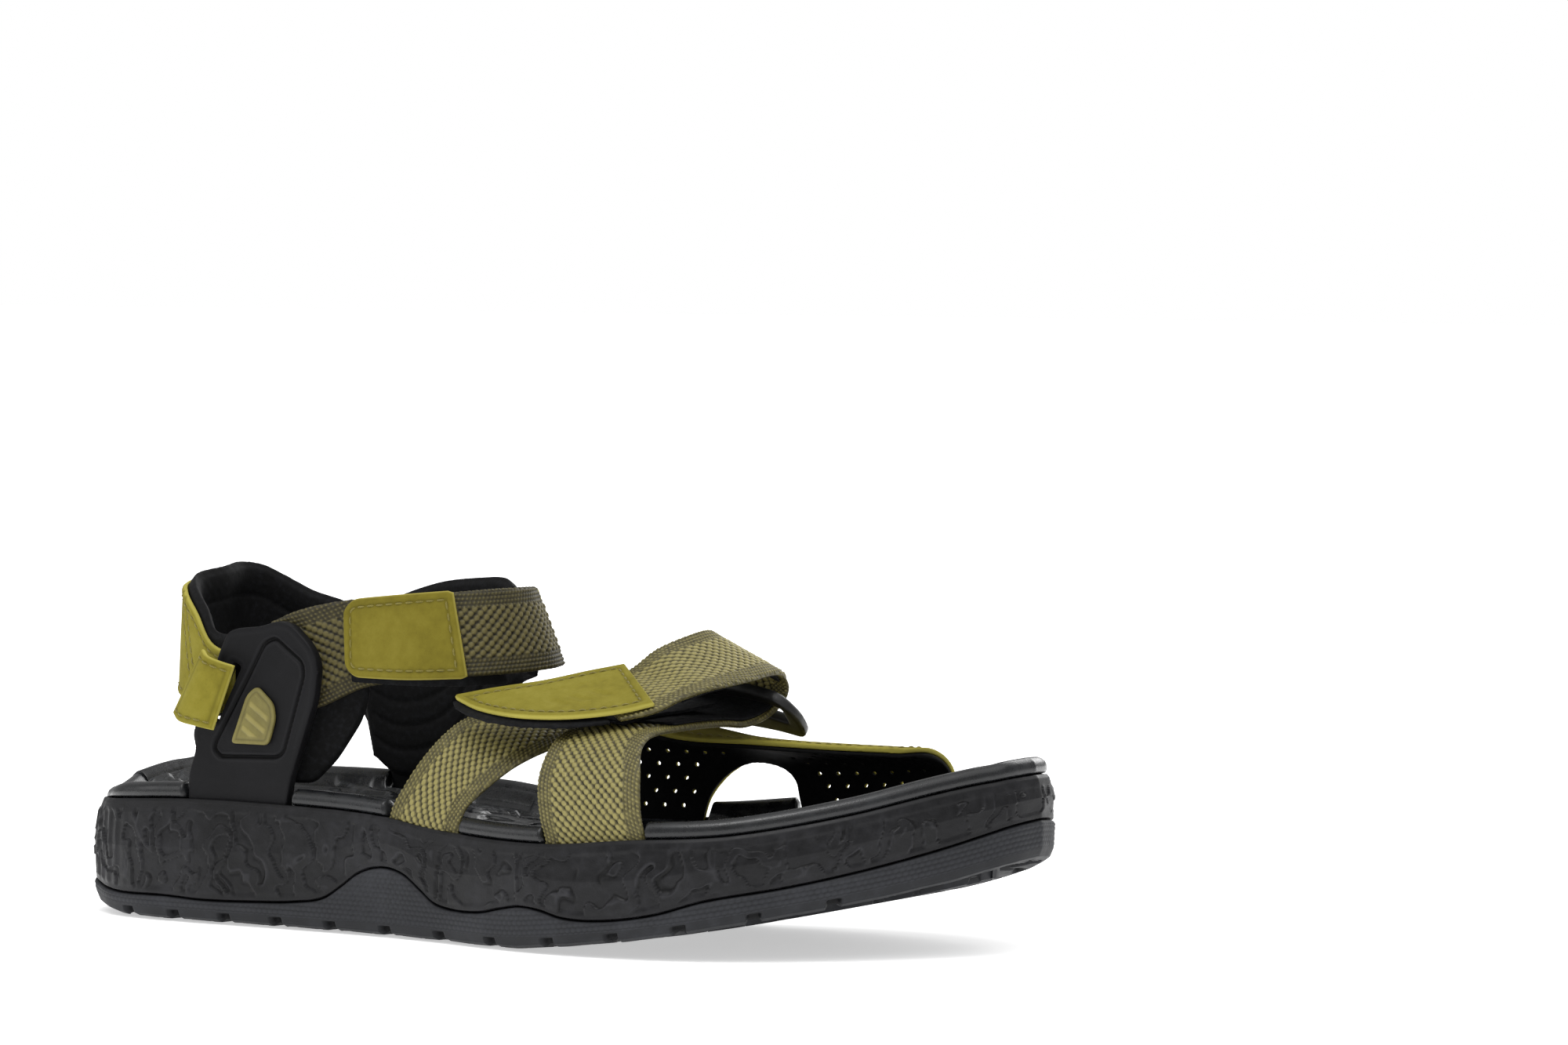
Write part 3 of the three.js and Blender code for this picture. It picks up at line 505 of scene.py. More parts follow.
def thread_mat(name, base, dark):
    m = Mat(name)
    tw = m.n("ShaderNodeTexWave", wave_type="BANDS", bands_direction="DIAGONAL")
    tw.inputs["Scale"].default_value = 900
    m.link(m.co.outputs["Object"], tw.inputs["Vector"])
    col = m.mix(m.math("MULTIPLY", tw.outputs["Fac"], 0.45), base, dark)
    m.set(Base_Color=col, Roughness=0.6, Normal=m.bump(tw.outputs["Fac"], 0.4, 0.0001))
    m.b.inputs["Specular IOR Level"].default_value = 0.35
    m.b.inputs["Sheen Weight"].default_value = 0.2
    return m.m


OLIVE_WEB = fabric_mat("olive_webbing", srgb(108, 100, 50), srgb(60, 54, 22), srgb(142, 133, 78), height_attr="rise", tone=True, sheen=0.10, rough=0.5, spec=0.5, hollow_shade=1.0)
ANKLE_WEB = fabric_mat("olive_webbing_ankle", srgb(68, 62, 30), srgb(38, 33, 13), srgb(95, 87, 48), height_attr="rise", tone=True, sheen=0.10, rough=0.55, spec=0.4, hollow_shade=1.0)
OLIVE_HIDE = leather_mat("olive_nubuck", srgb(136, 127, 44), srgb(114, 105, 32), srgb(150, 142, 60), sheen=0.12)
# darker copy of the olive nubuck for the ankle tab: painted shade of its upright face
OLIVE_TAB_SHADED = leather_mat("olive_nubuck_tab_painted_shade", srgb(122, 112, 36), srgb(102, 93, 26), srgb(138, 128, 50), sheen=0.12)
RUBBER = rubber_mat("outsole_rubber", srgb(34, 35, 38), srgb(22, 23, 26), srgb(50, 51, 55), rough=(0.5, 0.66), grain=2600, dust=0.10, spec=0.25)
FOAM = rubber_mat("midsole_foam", srgb(27, 27, 29), srgb(14, 14, 15), srgb(44, 44, 47), rough=(0.34, 0.52), grain=1700, dust=0.10, spec=0.22)
BED = rubber_mat("footbed_foam", srgb(24, 25, 27), srgb(15, 16, 18), srgb(36, 38, 41), rough=(0.20, 0.36), grain=2400, dust=0.06, spec=0.5)
MOULD = rubber_mat("moulded_support", srgb(21, 21, 23), srgb(16, 16, 18), srgb(27, 27, 29), rough=(0.48, 0.6), grain=3200, grain_depth=0.00008, dust=0.04, spec=0.15)
GLOSS = rubber_mat("ring_moulding", srgb(28, 28, 28), srgb(20, 20, 20), srgb(40, 40, 38), rough=(0.34, 0.46), grain=2600, dust=0.05, spec=0.45)
KNIT = fabric_mat("neoprene_knit", srgb(9, 9, 10), srgb(3, 3, 4), srgb(26, 27, 31), scale=1.2, sheen=0.10, rough=0.8, height_attr="rise", hollow_shade=0.5, spec=0.25)
HOOK = fabric_mat("hook_tape", srgb(15, 16, 18), srgb(7, 7, 9), srgb(30, 31, 34), scale=1.0, sheen=0.12, rough=0.85)
LINING = fabric_mat("panel_lining_knit", srgb(10, 10, 11), srgb(5, 5, 6), srgb(20, 20, 22), scale=1.0, sheen=0.06, rough=0.9)
THREAD = thread_mat("olive_thread", srgb(134, 124, 48), srgb(70, 62, 20))
THREAD_DARK = thread_mat("dark_thread", srgb(36, 36, 38), srgb(18, 18, 20))
CUSHION = rubber_mat("cushion_film", srgb(96, 102, 108), srgb(70, 76, 84), srgb(120, 126, 130), rough=(0.25, 0.35), cavity=False)
INLAY = rubber_mat("badge_inlay", srgb(122, 114, 62), srgb(102, 95, 50), srgb(142, 133, 78), rough=(0.5, 0.6), grain=2600, dust=0.04, spec=0.35)

# ------------------------------------------------------------------ webbing
STITCHES = {}


def bump_field(dist_along, across, width, band=4.8, cell=(2.9, 2.55), edge_pitch=1.2):
    """height 0..1 of the woven face: staggered rows of raised knots between two finely ribbed selvedges"""
    a = np.abs(across - width / 2)
    inner = width / 2 - band
    best = np.full(np.broadcast(dist_along, across).shape, 9.0)
    tone = np.zeros_like(best)
    for o in (0.0, 0.5):
        u, v = dist_along / cell[0] + o, across / cell[1] + o
        gu, gv = np.floor(u) + 0.5, np.floor(v) + 0.5
        j1, j2 = hash2(gu, gv, 3) - 0.5, hash2(gu, gv, 7) - 0.5
        du, dv = (u - gu) - j1 * 0.05, (v - gv) - j2 * 0.05
        dd = np.hypot((du + dv * 0.22) * cell[0] / 1.15, dv * cell[1] / 1.18)
        take = dd < best
        tone = np.where(take, hash2(gu, gv, 11), tone)
        best = np.minimum(best, dd)
    knot = np.sqrt(np.clip(1 - best ** 2, 0, 1)) ** 0.9
    fib = 0.05 * np.cos(2 * math.pi * (dist_along + across * 0.6) / 0.42)
    knot = np.clip(knot + fib * (knot > 0.2), 0, 1)
    # selvedge: cords along the strap, each a row of small slanted picks
    c = across / edge_pitch
    cords = np.abs(np.sin(math.pi * c))
    picks = 0.5 + 0.5 * np.cos(2 * math.pi * (dist_along / 1.25 + c * 0.5))
    rib = np.clip(0.28 + 0.6 * cords ** 0.7 * (0.35 + 0.65 * picks), 0, 1)
    w = smooth01((inner - a) / 0.9 + 0.5)
    return knot * w + rib * (1 - w), w * tone + (1 - w) * 0.35


# ------------------------------------------------------------------ stitching: real thread loops, joined by run
def stitches(name, paths, mat=None, length=2.4, gap=0.7, radius=0.28, sink=0.10, body=None, closed=False):
    """paths: list of (points, normals) polylines in shoe millimetres"""
    V, F = [], []
    off = 0
    sides = 6
    for P, N in paths:
        P, N = np.asarray(P, float), np.asarray(N, float)
        d = np.concatenate([[0], np.cumsum(np.linalg.norm(np.diff(P, axis=0), axis=1))])
        total = d[-1]
        if total < length:
            continue
        count = int(total / (length + gap))
        pitch = total / count
        for k in range(count):
            a, b = k * pitch + gap / 2, (k + 1) * pitch - gap / 2
            tt = np.linspace(a, b, 7)
            c = np.stack([np.interp(tt, d, P[:, i]) for i in range(3)], -1)
            nn = unit(np.stack([np.interp(tt, d, N[:, i]) for i in range(3)], -1))
            arch = np.sin(np.linspace(0, math.pi, 7))
            c = c + nn * ((arch * (radius * 1.5) - radius * 0.95 - sink)[:, None])
            tan = unit(np.gradient(c, axis=0))
            bi = unit(np.cross(tan, nn))
            n2 = np.cross(bi, tan)
            r = radius * (0.55 + 0.45 * arch ** 0.5)
            for j in range(7):
                for q in range(sides):
                    an = 2 * math.pi * q / sides
                    V.append(c[j] + (bi[j] * math.cos(an) + n2[j] * math.sin(an)) * r[j])
            for j in range(6):
                for q in range(sides):
                    q2 = (q + 1) % sides
                    F.append((off + j * sides + q, off + j * sides + q2, off + (j + 1) * sides + q2, off + (j + 1) * sides + q))
            # close the two ends with quads folded over the ring
            for base, rev in ((off, True), (off + 6 * sides, False)):
                quads = [(0, 1, 2, 3), (0, 3, 4, 5)]
                for qd in quads:
                    ids = tuple(base + i for i in (reversed(qd) if rev else qd))
                    F.append(ids)
            off += 7 * sides
    ob = obj_from(name, row(np.array(V)), np.array(F, np.int32), mat or THREAD)
    if body:
        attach(ob, body)
    return ob


def band_line(band, t_of_s, s0, s1, h, n=80):
    """a line on a band at offset t, at height h over it"""
    s = np.linspace(s0, s1, n)
    t = t_of_s(s) if callable(t_of_s) else np.full(n, t_of_s)
    P = band.at(s, t, np.full(n, h))
    N = unit(band._pick(band.N, s))
    return P, N


# ------------------------------------------------------------------ leather pieces on a band
def leather_piece(name, band, outline, thickness, node, shift=0.0, mat=None, res=0.9, body="sandal", edge_soft=0.5, dents=(), extra=None):
    """piece of leather cut to outline, a function s -> (t0, t1), lying on the band"""
    res = res / FINE
    n_s = max(10, int(band.total / res))
    n_t = max(10, int(band.width.max() / res))
    # clustered near the edges so that the cut edge is crisp
    s = (1 - np.cos(np.linspace(0, math.pi, n_s))) / 2 * 0.35 + np.linspace(0, 1, n_s) * 0.65
    tt = (1 - np.cos(np.linspace(0, math.pi, n_t))) / 2 * 0.45 + np.linspace(0, 1, n_t) * 0.55
    t0, t1 = outline(s)
    T = t0[:, None] + (t1 - t0)[:, None] * tt[None, :]
    S = np.repeat(s[:, None], n_t, 1)
    width = band.wide(s)[:, None]
    across = T * width
    along = S * band.total
    e_side = np.minimum(across - t0[:, None] * width, t1[:, None] * width - across)
    e_end = np.minimum(along, band.total - along)
    e = np.minimum(e_side, e_end)
    h = np.full_like(S, thickness / 2 + shift)
    h -= np.clip(1 - e / edge_soft, 0, 1) ** 2 * thickness * 0.3
    groove = np.zeros_like(S)
    for fn, depth, wid in dents:
        dd = fn(along, across, e)
        g = np.exp(-(dd / wid) ** 2)
        h -= g * depth
        groove = np.maximum(groove, g)
    h += (fbm(along / 14, across / 14, 9) - 0.5) * 0.28
    if extra is not None:
        h += extra(along, across, e)
    Po = row(band.at(S, T, h))
    Pi = row(band.at(S, T, np.full_like(S, -thickness / 2 + shift)))
    uv = np.stack([along / 100, across / 100], -1)
    ob = slab(name, Po, Pi, mat or OLIVE_HIDE, edge_round=0.22, uv=uv)
    n = n_s * n_t
    ea = np.ones(len(ob.data.vertices)) * 0.9
    ea[:n] = np.clip(1 - e / 0.35, 0, 1).ravel() * 0.7
    ea[n:2 * n] = 0.1
    set_attr(ob, "edge", ea)
    # the dent mask, which the leather material turns into painted shade in the grooves
    sm = np.zeros(len(ob.data.vertices))
    sm[:n] = groove.ravel() * 0.5
    set_attr(ob, "seam_groove_shade", sm)
    if body == "sandal":
        ride(ob, node)
    else:
        if body:
            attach(ob, body)
        if node:
            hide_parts(*([node] if isinstance(node, str) else node))
    return ob


def full(s):
    return np.zeros_like(s), np.ones_like(s)


# ================================================================== SOLE
def outline_at(stations):
    xs = X0 + LEN / 2 * (1 - np.cos(np.pi * stations))
    return xs


N_SIDE = int((620))
kk = np.linspace(0, 1, N_SIDE + 1)
xs = X0 + LEN / 2 * (1 - np.cos(np.pi * kk))
loop_xy = np.concatenate([np.stack([xs, interp(LAT, xs)], -1), np.stack([xs[-2:0:-1], interp(MED, xs[-2:0:-1])], -1)])
# even spacing along the outline, keeping the toe and heel round
seg = np.linalg.norm(np.diff(np.vstack([loop_xy, loop_xy[:1]]), axis=0), axis=1)
cum = np.concatenate([[0], np.cumsum(seg)])
PERIM = cum[-1]
N_LOOP = 1500
dist = np.linspace(0, PERIM, N_LOOP, endpoint=False)
closed = np.vstack([loop_xy, loop_xy[:1]])
loop = np.stack([np.interp(dist, cum, closed[:, 0]), np.interp(dist, cum, closed[:, 1])], -1)
for _ in range(2):
    loop = loop * 0.5 + (np.roll(loop, 1, 0) + np.roll(loop, -1, 0)) * 0.25
tang = unit(np.roll(loop, -3, 0) - np.roll(loop, 3, 0))
inward = np.stack([-tang[:, 1], tang[:, 0]], -1)
LX = loop[:, 0]
LY = loop[:, 1]
is_med = loop[:, 1] > np.interp(LX, [X0, 301], [0, 17])


def ring_pts(inset, z):
    p = loop + inward * np.asarray(inset)[..., None] if np.ndim(inset) else loop + inward * inset
    return np.concatenate([p, np.broadcast_to(np.asarray(z, float), LX.shape)[:, None]], 1)


def interp_rows(rows, per):
    """list of (inset array, z array) control rings, with 'per' steps between each pair"""
    out = []
    for (a, b), k in zip(zip(rows[:-1], rows[1:]), per):
        for j in range(k):
            f = j / k
            out.append((np.broadcast_to(a[0], LX.shape) * (1 - f) + np.broadcast_to(b[0], LX.shape) * f,
                        np.broadcast_to(a[1], LX.shape) * (1 - f) + np.broadcast_to(b[1], LX.shape) * f))
    out.append((np.broadcast_to(rows[-1][0], LX.shape) + 0.0, np.broadcast_to(rows[-1][1], LX.shape) + 0.0))
    return out


def cap_fan(ring_idx, flip=False):
    """quads across a ring of even count, pairing index i with n-i"""
    n = len(ring_idx)
    f = []
    for i in range(0, n // 2 - 0):
        a, b = i, i + 1
        c, d = (n - i - 1) % n, (n - i) % n
        if len({a % n, b % n, c, d}) < 4:
            continue
        f.append((ring_idx[a], ring_idx[b % n], ring_idx[c], ring_idx[d]))
    f = np.array(f)
    return f[:, ::-1] if flip else f


def build_outsole():
    b, i_ = zb(LX), zi(LX)
    rows = interp_rows([(15.0, b), (3.4, b + 0.25), (1.3, b + 1.2), (0.35, b + 3.6), (0.0, np.maximum(i_ - 0.9, b + 5.1)), (0.25, i_ - 0.2), (0.9, i_), (3.0, i_), (3.01, b + 5)],
                       [10, 10, 9, int(26 * FINE) + 4, 3, 2, 2, 5])
    pts = np.array([ring_pts(r[0], r[1]) for r in rows])
    nrow = len(rows)
    D = np.repeat(dist[None, :], nrow, 0)
    Z = pts[:, :, 2]
    inset = np.array([r[0] for r in rows])
    wall = (inset < 1.35) & (np.arange(nrow)[:, None] < nrow - 8)
    # fine moulded scales: small raised lozenges, larger on the waist's peaks
    u, v = D / 1.9, (Z - b[None, :]) / 1.4
    jj = np.floor(v)
    uu = u + (jj % 2) * 0.5
    cu, cv = uu - np.floor(uu) - 0.5, v - jj - 0.5
    scale = np.clip(1 - (np.abs(cu) * 1.5) ** 2 - (np.abs(cv) * 1.7) ** 2, 0, 1)
    amp = 0.2 * smooth01((Z - b[None, :] - 3.2) / 1.5) * smooth01((i_[None, :] - Z) / 0.9)
    disp = scale * amp * wall
    # tread notches on the lower edge, about every 19 mm
    notch = np.zeros_like(D)
    xs_n = []
    lat_x = [24, 42, 60.5, 79, 98.5, 119, 140, 160.5, 182, 203.5, 224, 243.5, 262]
    for X in lat_x:
        for med in (False, True):
            idx = np.where((is_med == med))[0]
            k = idx[np.argmin(np.abs(LX[idx] - X))]
            xs_n.append(dist[k])
    for c in xs_n:
        dd = np.abs((D - c + PERIM / 2) % PERIM - PERIM / 2)
        notch = np.maximum(notch, smooth01((1.9 - dd) / 0.35 + 0.5))
    low = smooth01((b[None, :] + 3.1 - Z) / 0.35 + 0.5) * (inset < 14)
    cutn = notch * low
    # push out the scales and cut the notches
    P = pts.copy()
    out2 = -inward[None, :, :]
    P[:, :, :2] += out2 * disp[..., None]
    P[:, :, :2] -= out2 * (cutn * np.clip(4.6 - inset, 0, 4.6) * 0.9)[..., None]
    P[:, :, 2] += cutn * np.clip(2.6 - (Z - b[None, :]), 0, 2.6) * 0.4
    # undulating lower edge like cut lugs
    fac = (np.mod(D / 19.0 + 0.3, 1.0) - 0.5)
    P[:, :, 2] += np.clip(0.35 * np.abs(fac) * (inset < 6) * (Z < b[None, :] + 2), 0, 1)
    # the ground face closes towards the middle line; lugs stand between zigzag channels
    K = int(44 * FINE)
    first = P[0]
    xm = np.clip(first[:, 0], 28, 268)
    ym = (interp(MED, xm) + interp(LAT, xm)) / 2
    inner = []
    for j in range(K, 0, -1):
        k = j / K
        q = first.copy()
        q[:, 0] = first[:, 0] * (1 - k) + xm * k
        q[:, 1] = first[:, 1] * (1 - k) + ym * k
        q[:, 2] = zb(q[:, 0])
        inner.append(q)
    P = np.concatenate([np.array(inner), P])
    X, Y = P[:, :, 0], P[:, :, 1]
    mid = (interp(MED, X) + interp(LAT, X)) / 2
    ys = Y - mid
    zig = 3.4 * (2 * np.abs(np.mod(ys / 13.0, 1.0) - 0.5) - 0.5)
    cell = np.abs(np.mod((X + zig - 24) / 19.8 + 0.5, 1.0) - 0.5) * 19.8
    across_ = smooth01((1.5 - cell) / 0.5 + 0.5)
    wob = 1.6 * np.sin(X / 6.3)
    along_ = np.maximum(smooth01((1.1 - np.abs(ys - 12 - wob)) / 0.5 + 0.5), smooth01((1.1 - np.abs(ys + 12 - wob)) / 0.5 + 0.5))
    half = np.abs(np.mod((X + zig - 24) / 9.9 + 0.5, 1.0) - 0.5) * 9.9
    sipe = smooth01((0.45 - half) / 0.3 + 0.5) * 0.45
    chan = np.maximum(np.maximum(across_, along_), sipe)
    flat = np.zeros(len(P))
    flat[:K + 11] = 1
    chan = chan * flat[:, None] * smooth01((np.arange(len(P))[::-1][:, None] - (len(P) - K - 16)) / 4.0)
    P[:, :, 2] += chan * 1.7
    v_ = row(P.reshape(-1, 3))
    n = N_LOOP
    nr2 = len(P)
    f = [grid_faces(nr2, n, wrap_c=True)]
    f.append(cap_fan(np.arange(n), flip=False))
    f.append(cap_fan(np.arange(n) + (nr2 - 1) * n, flip=True))
    f = np.concatenate(f)
    # consistent outward
    if volume_sign(v_, f) < 0:
        f = f[:, ::-1]
    ob = obj_from("visual_outsole", v_, f, RUBBER)
    # painted shade in the notches, between the scales and in the tread channels; painted highlight on the scale tops
    pad = np.zeros((K, n))
    g = np.concatenate([pad, np.clip(cutn * 1.0 + (0.35 - scale) * (amp > 0.05) * 0.5, 0, 1)])
    set_attr(ob, "groove", np.clip(g + chan * 0.6, 0, 1).ravel())
    set_attr(ob, "ridge", np.concatenate([pad, scale * (amp > 0.05) * 0.35]).ravel())
    ride(ob, "outsole")
    return ob


def cup_rise(x, y):
    return 6.0 * smooth01((44 - x) / 34) * smooth01((y + 20) / 38)


def build_midsole():
    b, i_, t_ = zb(LX), zi(LX), zt(LX) + cup_rise(LX, LY)
    bulge = (i_ + 0.3 + t_) / 2
    hl = smooth01((12 - LX) / 14.0) * 1.7
    rows = interp_rows([(3.3, b + 5.3), (3.3, i_ + 0.3), (1.3, i_ + 0.3), (0.35, i_ + 0.75), (0.0 + hl * 0.15, bulge), (0.9 + hl * 0.7, t_ - 3), (1.5 + hl, t_ - 0.9), (2.2 + hl * 0.6, t_), (3.3, t_), (3.31, t_ - 6)],
                       [3, 3, 3, int(34 * FINE) + 3, int(34 * FINE) + 3, 6, 4, 2, 4])
    pts = np.array([ring_pts(r[0], r[1]) for r in rows])
    nrow = len(rows)
    D = np.repeat(dist[None, :], nrow, 0)
    Z = pts[:, :, 2]
    inset = np.array([r[0] for r in rows])
    first_wall, last_wall = 8, nrow - 8
    rr_ = np.arange(nrow)[:, None]
    wall = smooth01((rr_ - 6) / 3.0) * smooth01((last_wall + 2 - rr_) / 6.0)
    span = smooth01((Z - i_[None, :] - 1.5) / 1.5) * smooth01((t_[None, :] - 2.2 - Z) / 1.8)
    # wandering terraces: plateaus and hollows with sharp, folded borders
    wx = (fbm(D / 7.5, Z / 7.5, 51, 2) - 0.5) * 9.0
    wz = (fbm(D / 7.5 + 40, Z / 7.5, 57, 2) - 0.5) * 7.0
    F = fbm((D + wx) / 7.0, (Z + wz) / 12.0, 63, 2) * 5.4 + 0.06 * D / 7.0
    wv = np.sin(math.pi * F)
    plate_ = np.tanh(6 * wv)
    border = np.exp(-((wv + 0.06) / 0.13) ** 2)
    lipw = np.exp(-((wv - 0.28) / 0.13) ** 2)
    heel = np.clip(1 - LX / 26, 0, 1)[None, :]
    ribs = heel * 0.45 * np.cos(D * 2 * math.pi / 4.2 + 2.4 * fbm(D / 9, Z / 9, 77)) * span
    strength = (0.72 + 0.5 * (fbm(D / 30, Z / 30, 91) - 0.5)) * span
    groove = border * strength
    lip = lipw * strength
    disp = plate_ * 0.34 * strength - groove * 0.5 + lip * 0.16 + ribs + (fbm(D / 3.1, Z / 3.1, 95) - 0.5) * 0.16 * span
    P = pts.copy()
    P[:, :, :2] -= inward[None] * (disp * wall)[..., None]
    v_ = row(P.reshape(-1, 3))
    n = N_LOOP
    f = [grid_faces(nrow, n, wrap_c=True), cap_fan(np.arange(n)), cap_fan(np.arange(n) + (nrow - 1) * n, flip=True)]
    f = np.concatenate(f)
    if volume_sign(v_, f) < 0:
        f = f[:, ::-1]
    ob = obj_from("visual_midsole", v_, f, FOAM)
    # painted shade in the terrace borders and painted highlight on their lips
    set_attr(ob, "groove", np.clip(groove * 1.1, 0, 1).ravel())
    set_attr(ob, "ridge", np.clip(lip * 0.55, 0, 1).ravel())
    ride(ob, "midsole")
    return ob


# places where a piece comes up through the rim: (x0, x1, medial?)
BREAKS = [(45.5, 82.6, False), (74.0, 104.0, True), (118.6, 145.2, False), (179.8, 212.2, False), (130.4, 177.6, True), (205.6, 254.8, True)]


def break_mask(pad=0.0, soft=0.6, kind=None):
    m = np.zeros(N_LOOP)
    for x0, x1, med in BREAKS:
        sel = is_med == med
        k = smooth01((LX - (x0 - pad)) / soft + 0.5) * smooth01(((x1 + pad) - LX) / soft + 0.5)
        m = np.maximum(m, k * sel)
    return m


def build_footbed():
    t_ = zt(LX) + cup_rise(LX, LY)
    bm = break_mask(1.1, 1.2)
    # the rim drops to nothing and stands back where a strap passes
    keep_in = lambda inset: np.maximum(inset, bm * 8.6)
    lo = lambda z, zmin: z * (1 - bm) + np.minimum(z, t_ - 0.6) * bm
    prof = [(3.6, t_ - 5.7), (3.6, t_ + 0.3), (2.6, t_ + 0.45), (2.2, t_ + 1.3), (2.3, t_ + 2.64), (2.8, t_ + 3.7), (3.8, t_ + 4.46), (4.8, t_ + 4.75), (5.8, t_ + 4.7), (7.0, t_ + 4.0), (8.2, t_ + 2.88), (9.3, t_ + 1.1), (10.4, t_ - 0.6), (12.4, t_ - 1.6), (14.5, t_ - 2.2)]
    rows = [(keep_in(np.full(N_LOOP, a)), lo(z, None)) for a, z in prof]
    rows = interp_rows(rows, [3, 2, 2, 2, 2, 2, 2, 2, 2, 3, 3, 3, 4, 4])
    hb = smooth01((22 - LX) / 22.0)
    rows = [(r[0] + 1.5 * hb, r[1] - 1.9 * hb * smooth01((np.asarray(r[1]) - t_) / 2.0)) for r in rows]
    pts = [ring_pts(r[0], r[1]) for r in rows]
    # inside: shrink the ring towards the middle line of the bed
    half_w = (interp(MED, LX) - interp(LAT, LX)) / 2
    mid_y = (interp(MED, LX) + interp(LAT, LX)) / 2
    last = pts[-1]
    xm = np.clip(last[:, 0], 24, 272)
    target = np.stack([xm, np.interp(xm, X0 + LEN / 2 * (1 - np.cos(np.pi * kk)), (interp(MED, xs) + interp(LAT, xs)) / 2), zt(xm) - 2.4], -1)
    K = int(64 * FINE)
    for j in range(1, K + 1):
        f = j / K
        p = last * (1 - f) + target * f
        p[:, 2] = zt(p[:, 0]) - 2.2 - 0.4 * f + cup_rise(LX, LY) * (1 - smooth01(f / 0.55))
        pts.append(p)
    P = np.array(pts)
    nrow = len(pts)
    X, Y, Z = P[:, :, 0], P[:, :, 1], P[:, :, 2]
    # topographic steps on the bed, smooth rim
    wx = (fbm(X / 11, Y / 11, 15, 2) - 0.5) * 12
    field = fbm((X + wx) / 15 + 3.1, Y / 9 + 1.7, 5, 2) * 7.5 + 0.1 * (Y / 13)
    wv = np.sin(math.pi * field)
    contour = np.exp(-(wv / 0.22) ** 2)
    inside = smooth01((np.arange(nrow)[:, None] - (len(rows) - 15)) / 5.0)
    hgt = (np.tanh(3 * wv) * 0.45 + contour * 0.35 + (fbm(X / 2.3, Y / 2.3, 8) - 0.5) * 0.25) * inside
    P[:, :, 2] += hgt
    v_ = row(P.reshape(-1, 3))
    n = N_LOOP
    f = [grid_faces(nrow, n, wrap_c=True), cap_fan(np.arange(n)), cap_fan(np.arange(n) + (nrow - 1) * n, flip=True)]
    f = np.concatenate(f)
    if volume_sign(v_, f) < 0:
        f = f[:, ::-1]
    ob = obj_from("visual_footbed", v_, f, BED)
    # painted shade on the lower terraces and painted highlight on the contour lines
    set_attr(ob, "groove", (np.clip(-np.tanh(3 * wv), 0, 1) * 0.4 * inside).ravel())
    set_attr(ob, "ridge", (contour * 0.8 * inside).ravel())
    ride(ob, "footbed")
    return ob


# ================================================================== PLATES (lateral and medial supports)
def inside_poly(px, pz, poly):
    poly = np.asarray(poly, float)
    res = np.zeros(np.shape(px), bool)
    j = len(poly) - 1
    for i in range(len(poly)):
        xi, zi_, xj, zj = poly[i, 0], poly[i, 1], poly[j, 0], poly[j, 1]
        c = ((zi_ > pz) != (zj > pz)) & (px < (xj - xi) * (pz - zi_) / (zj - zi_ + 1e-12) + xi)
        res ^= c
        j = i
    return res


def poly_distance(px, pz, poly, closed_=True):
    """unsigned distance to a polyline"""
    poly = np.asarray(poly, float)
    best = np.full(np.shape(px), 1e9)
    m = len(poly)
    for i in range(m if closed_ else m - 1):
        a, b = poly[i], poly[(i + 1) % m]
        e = b - a
        t = np.clip(((px - a[0]) * e[0] + (pz - a[1]) * e[1]) / max(e @ e, 1e-12), 0, 1)
        best = np.minimum(best, np.hypot(px - a[0] - t * e[0], pz - a[1] - t * e[1]))
    return best


def rounded(pts, r, n=5):
    out = []
    m = len(pts)
    for i, p in enumerate(pts):
        rr = p[2] if len(p) > 2 else r
        p0 = np.array(p[:2], float)
        a, b = np.array(pts[i - 1][:2], float), np.array(pts[(i + 1) % m][:2], float)
        ua, ub = a - p0, b - p0
        la, lb = np.linalg.norm(ua), np.linalg.norm(ub)
        d = min(rr, la / 2.2, lb / 2.2)
        A, B = p0 + ua / la * d, p0 + ub / lb * d
        for k in range(n + 1):
            f = k / n
            out.append(tuple((1 - f) ** 2 * A + 2 * f * (1 - f) * p0 + f * f * B))
    return out


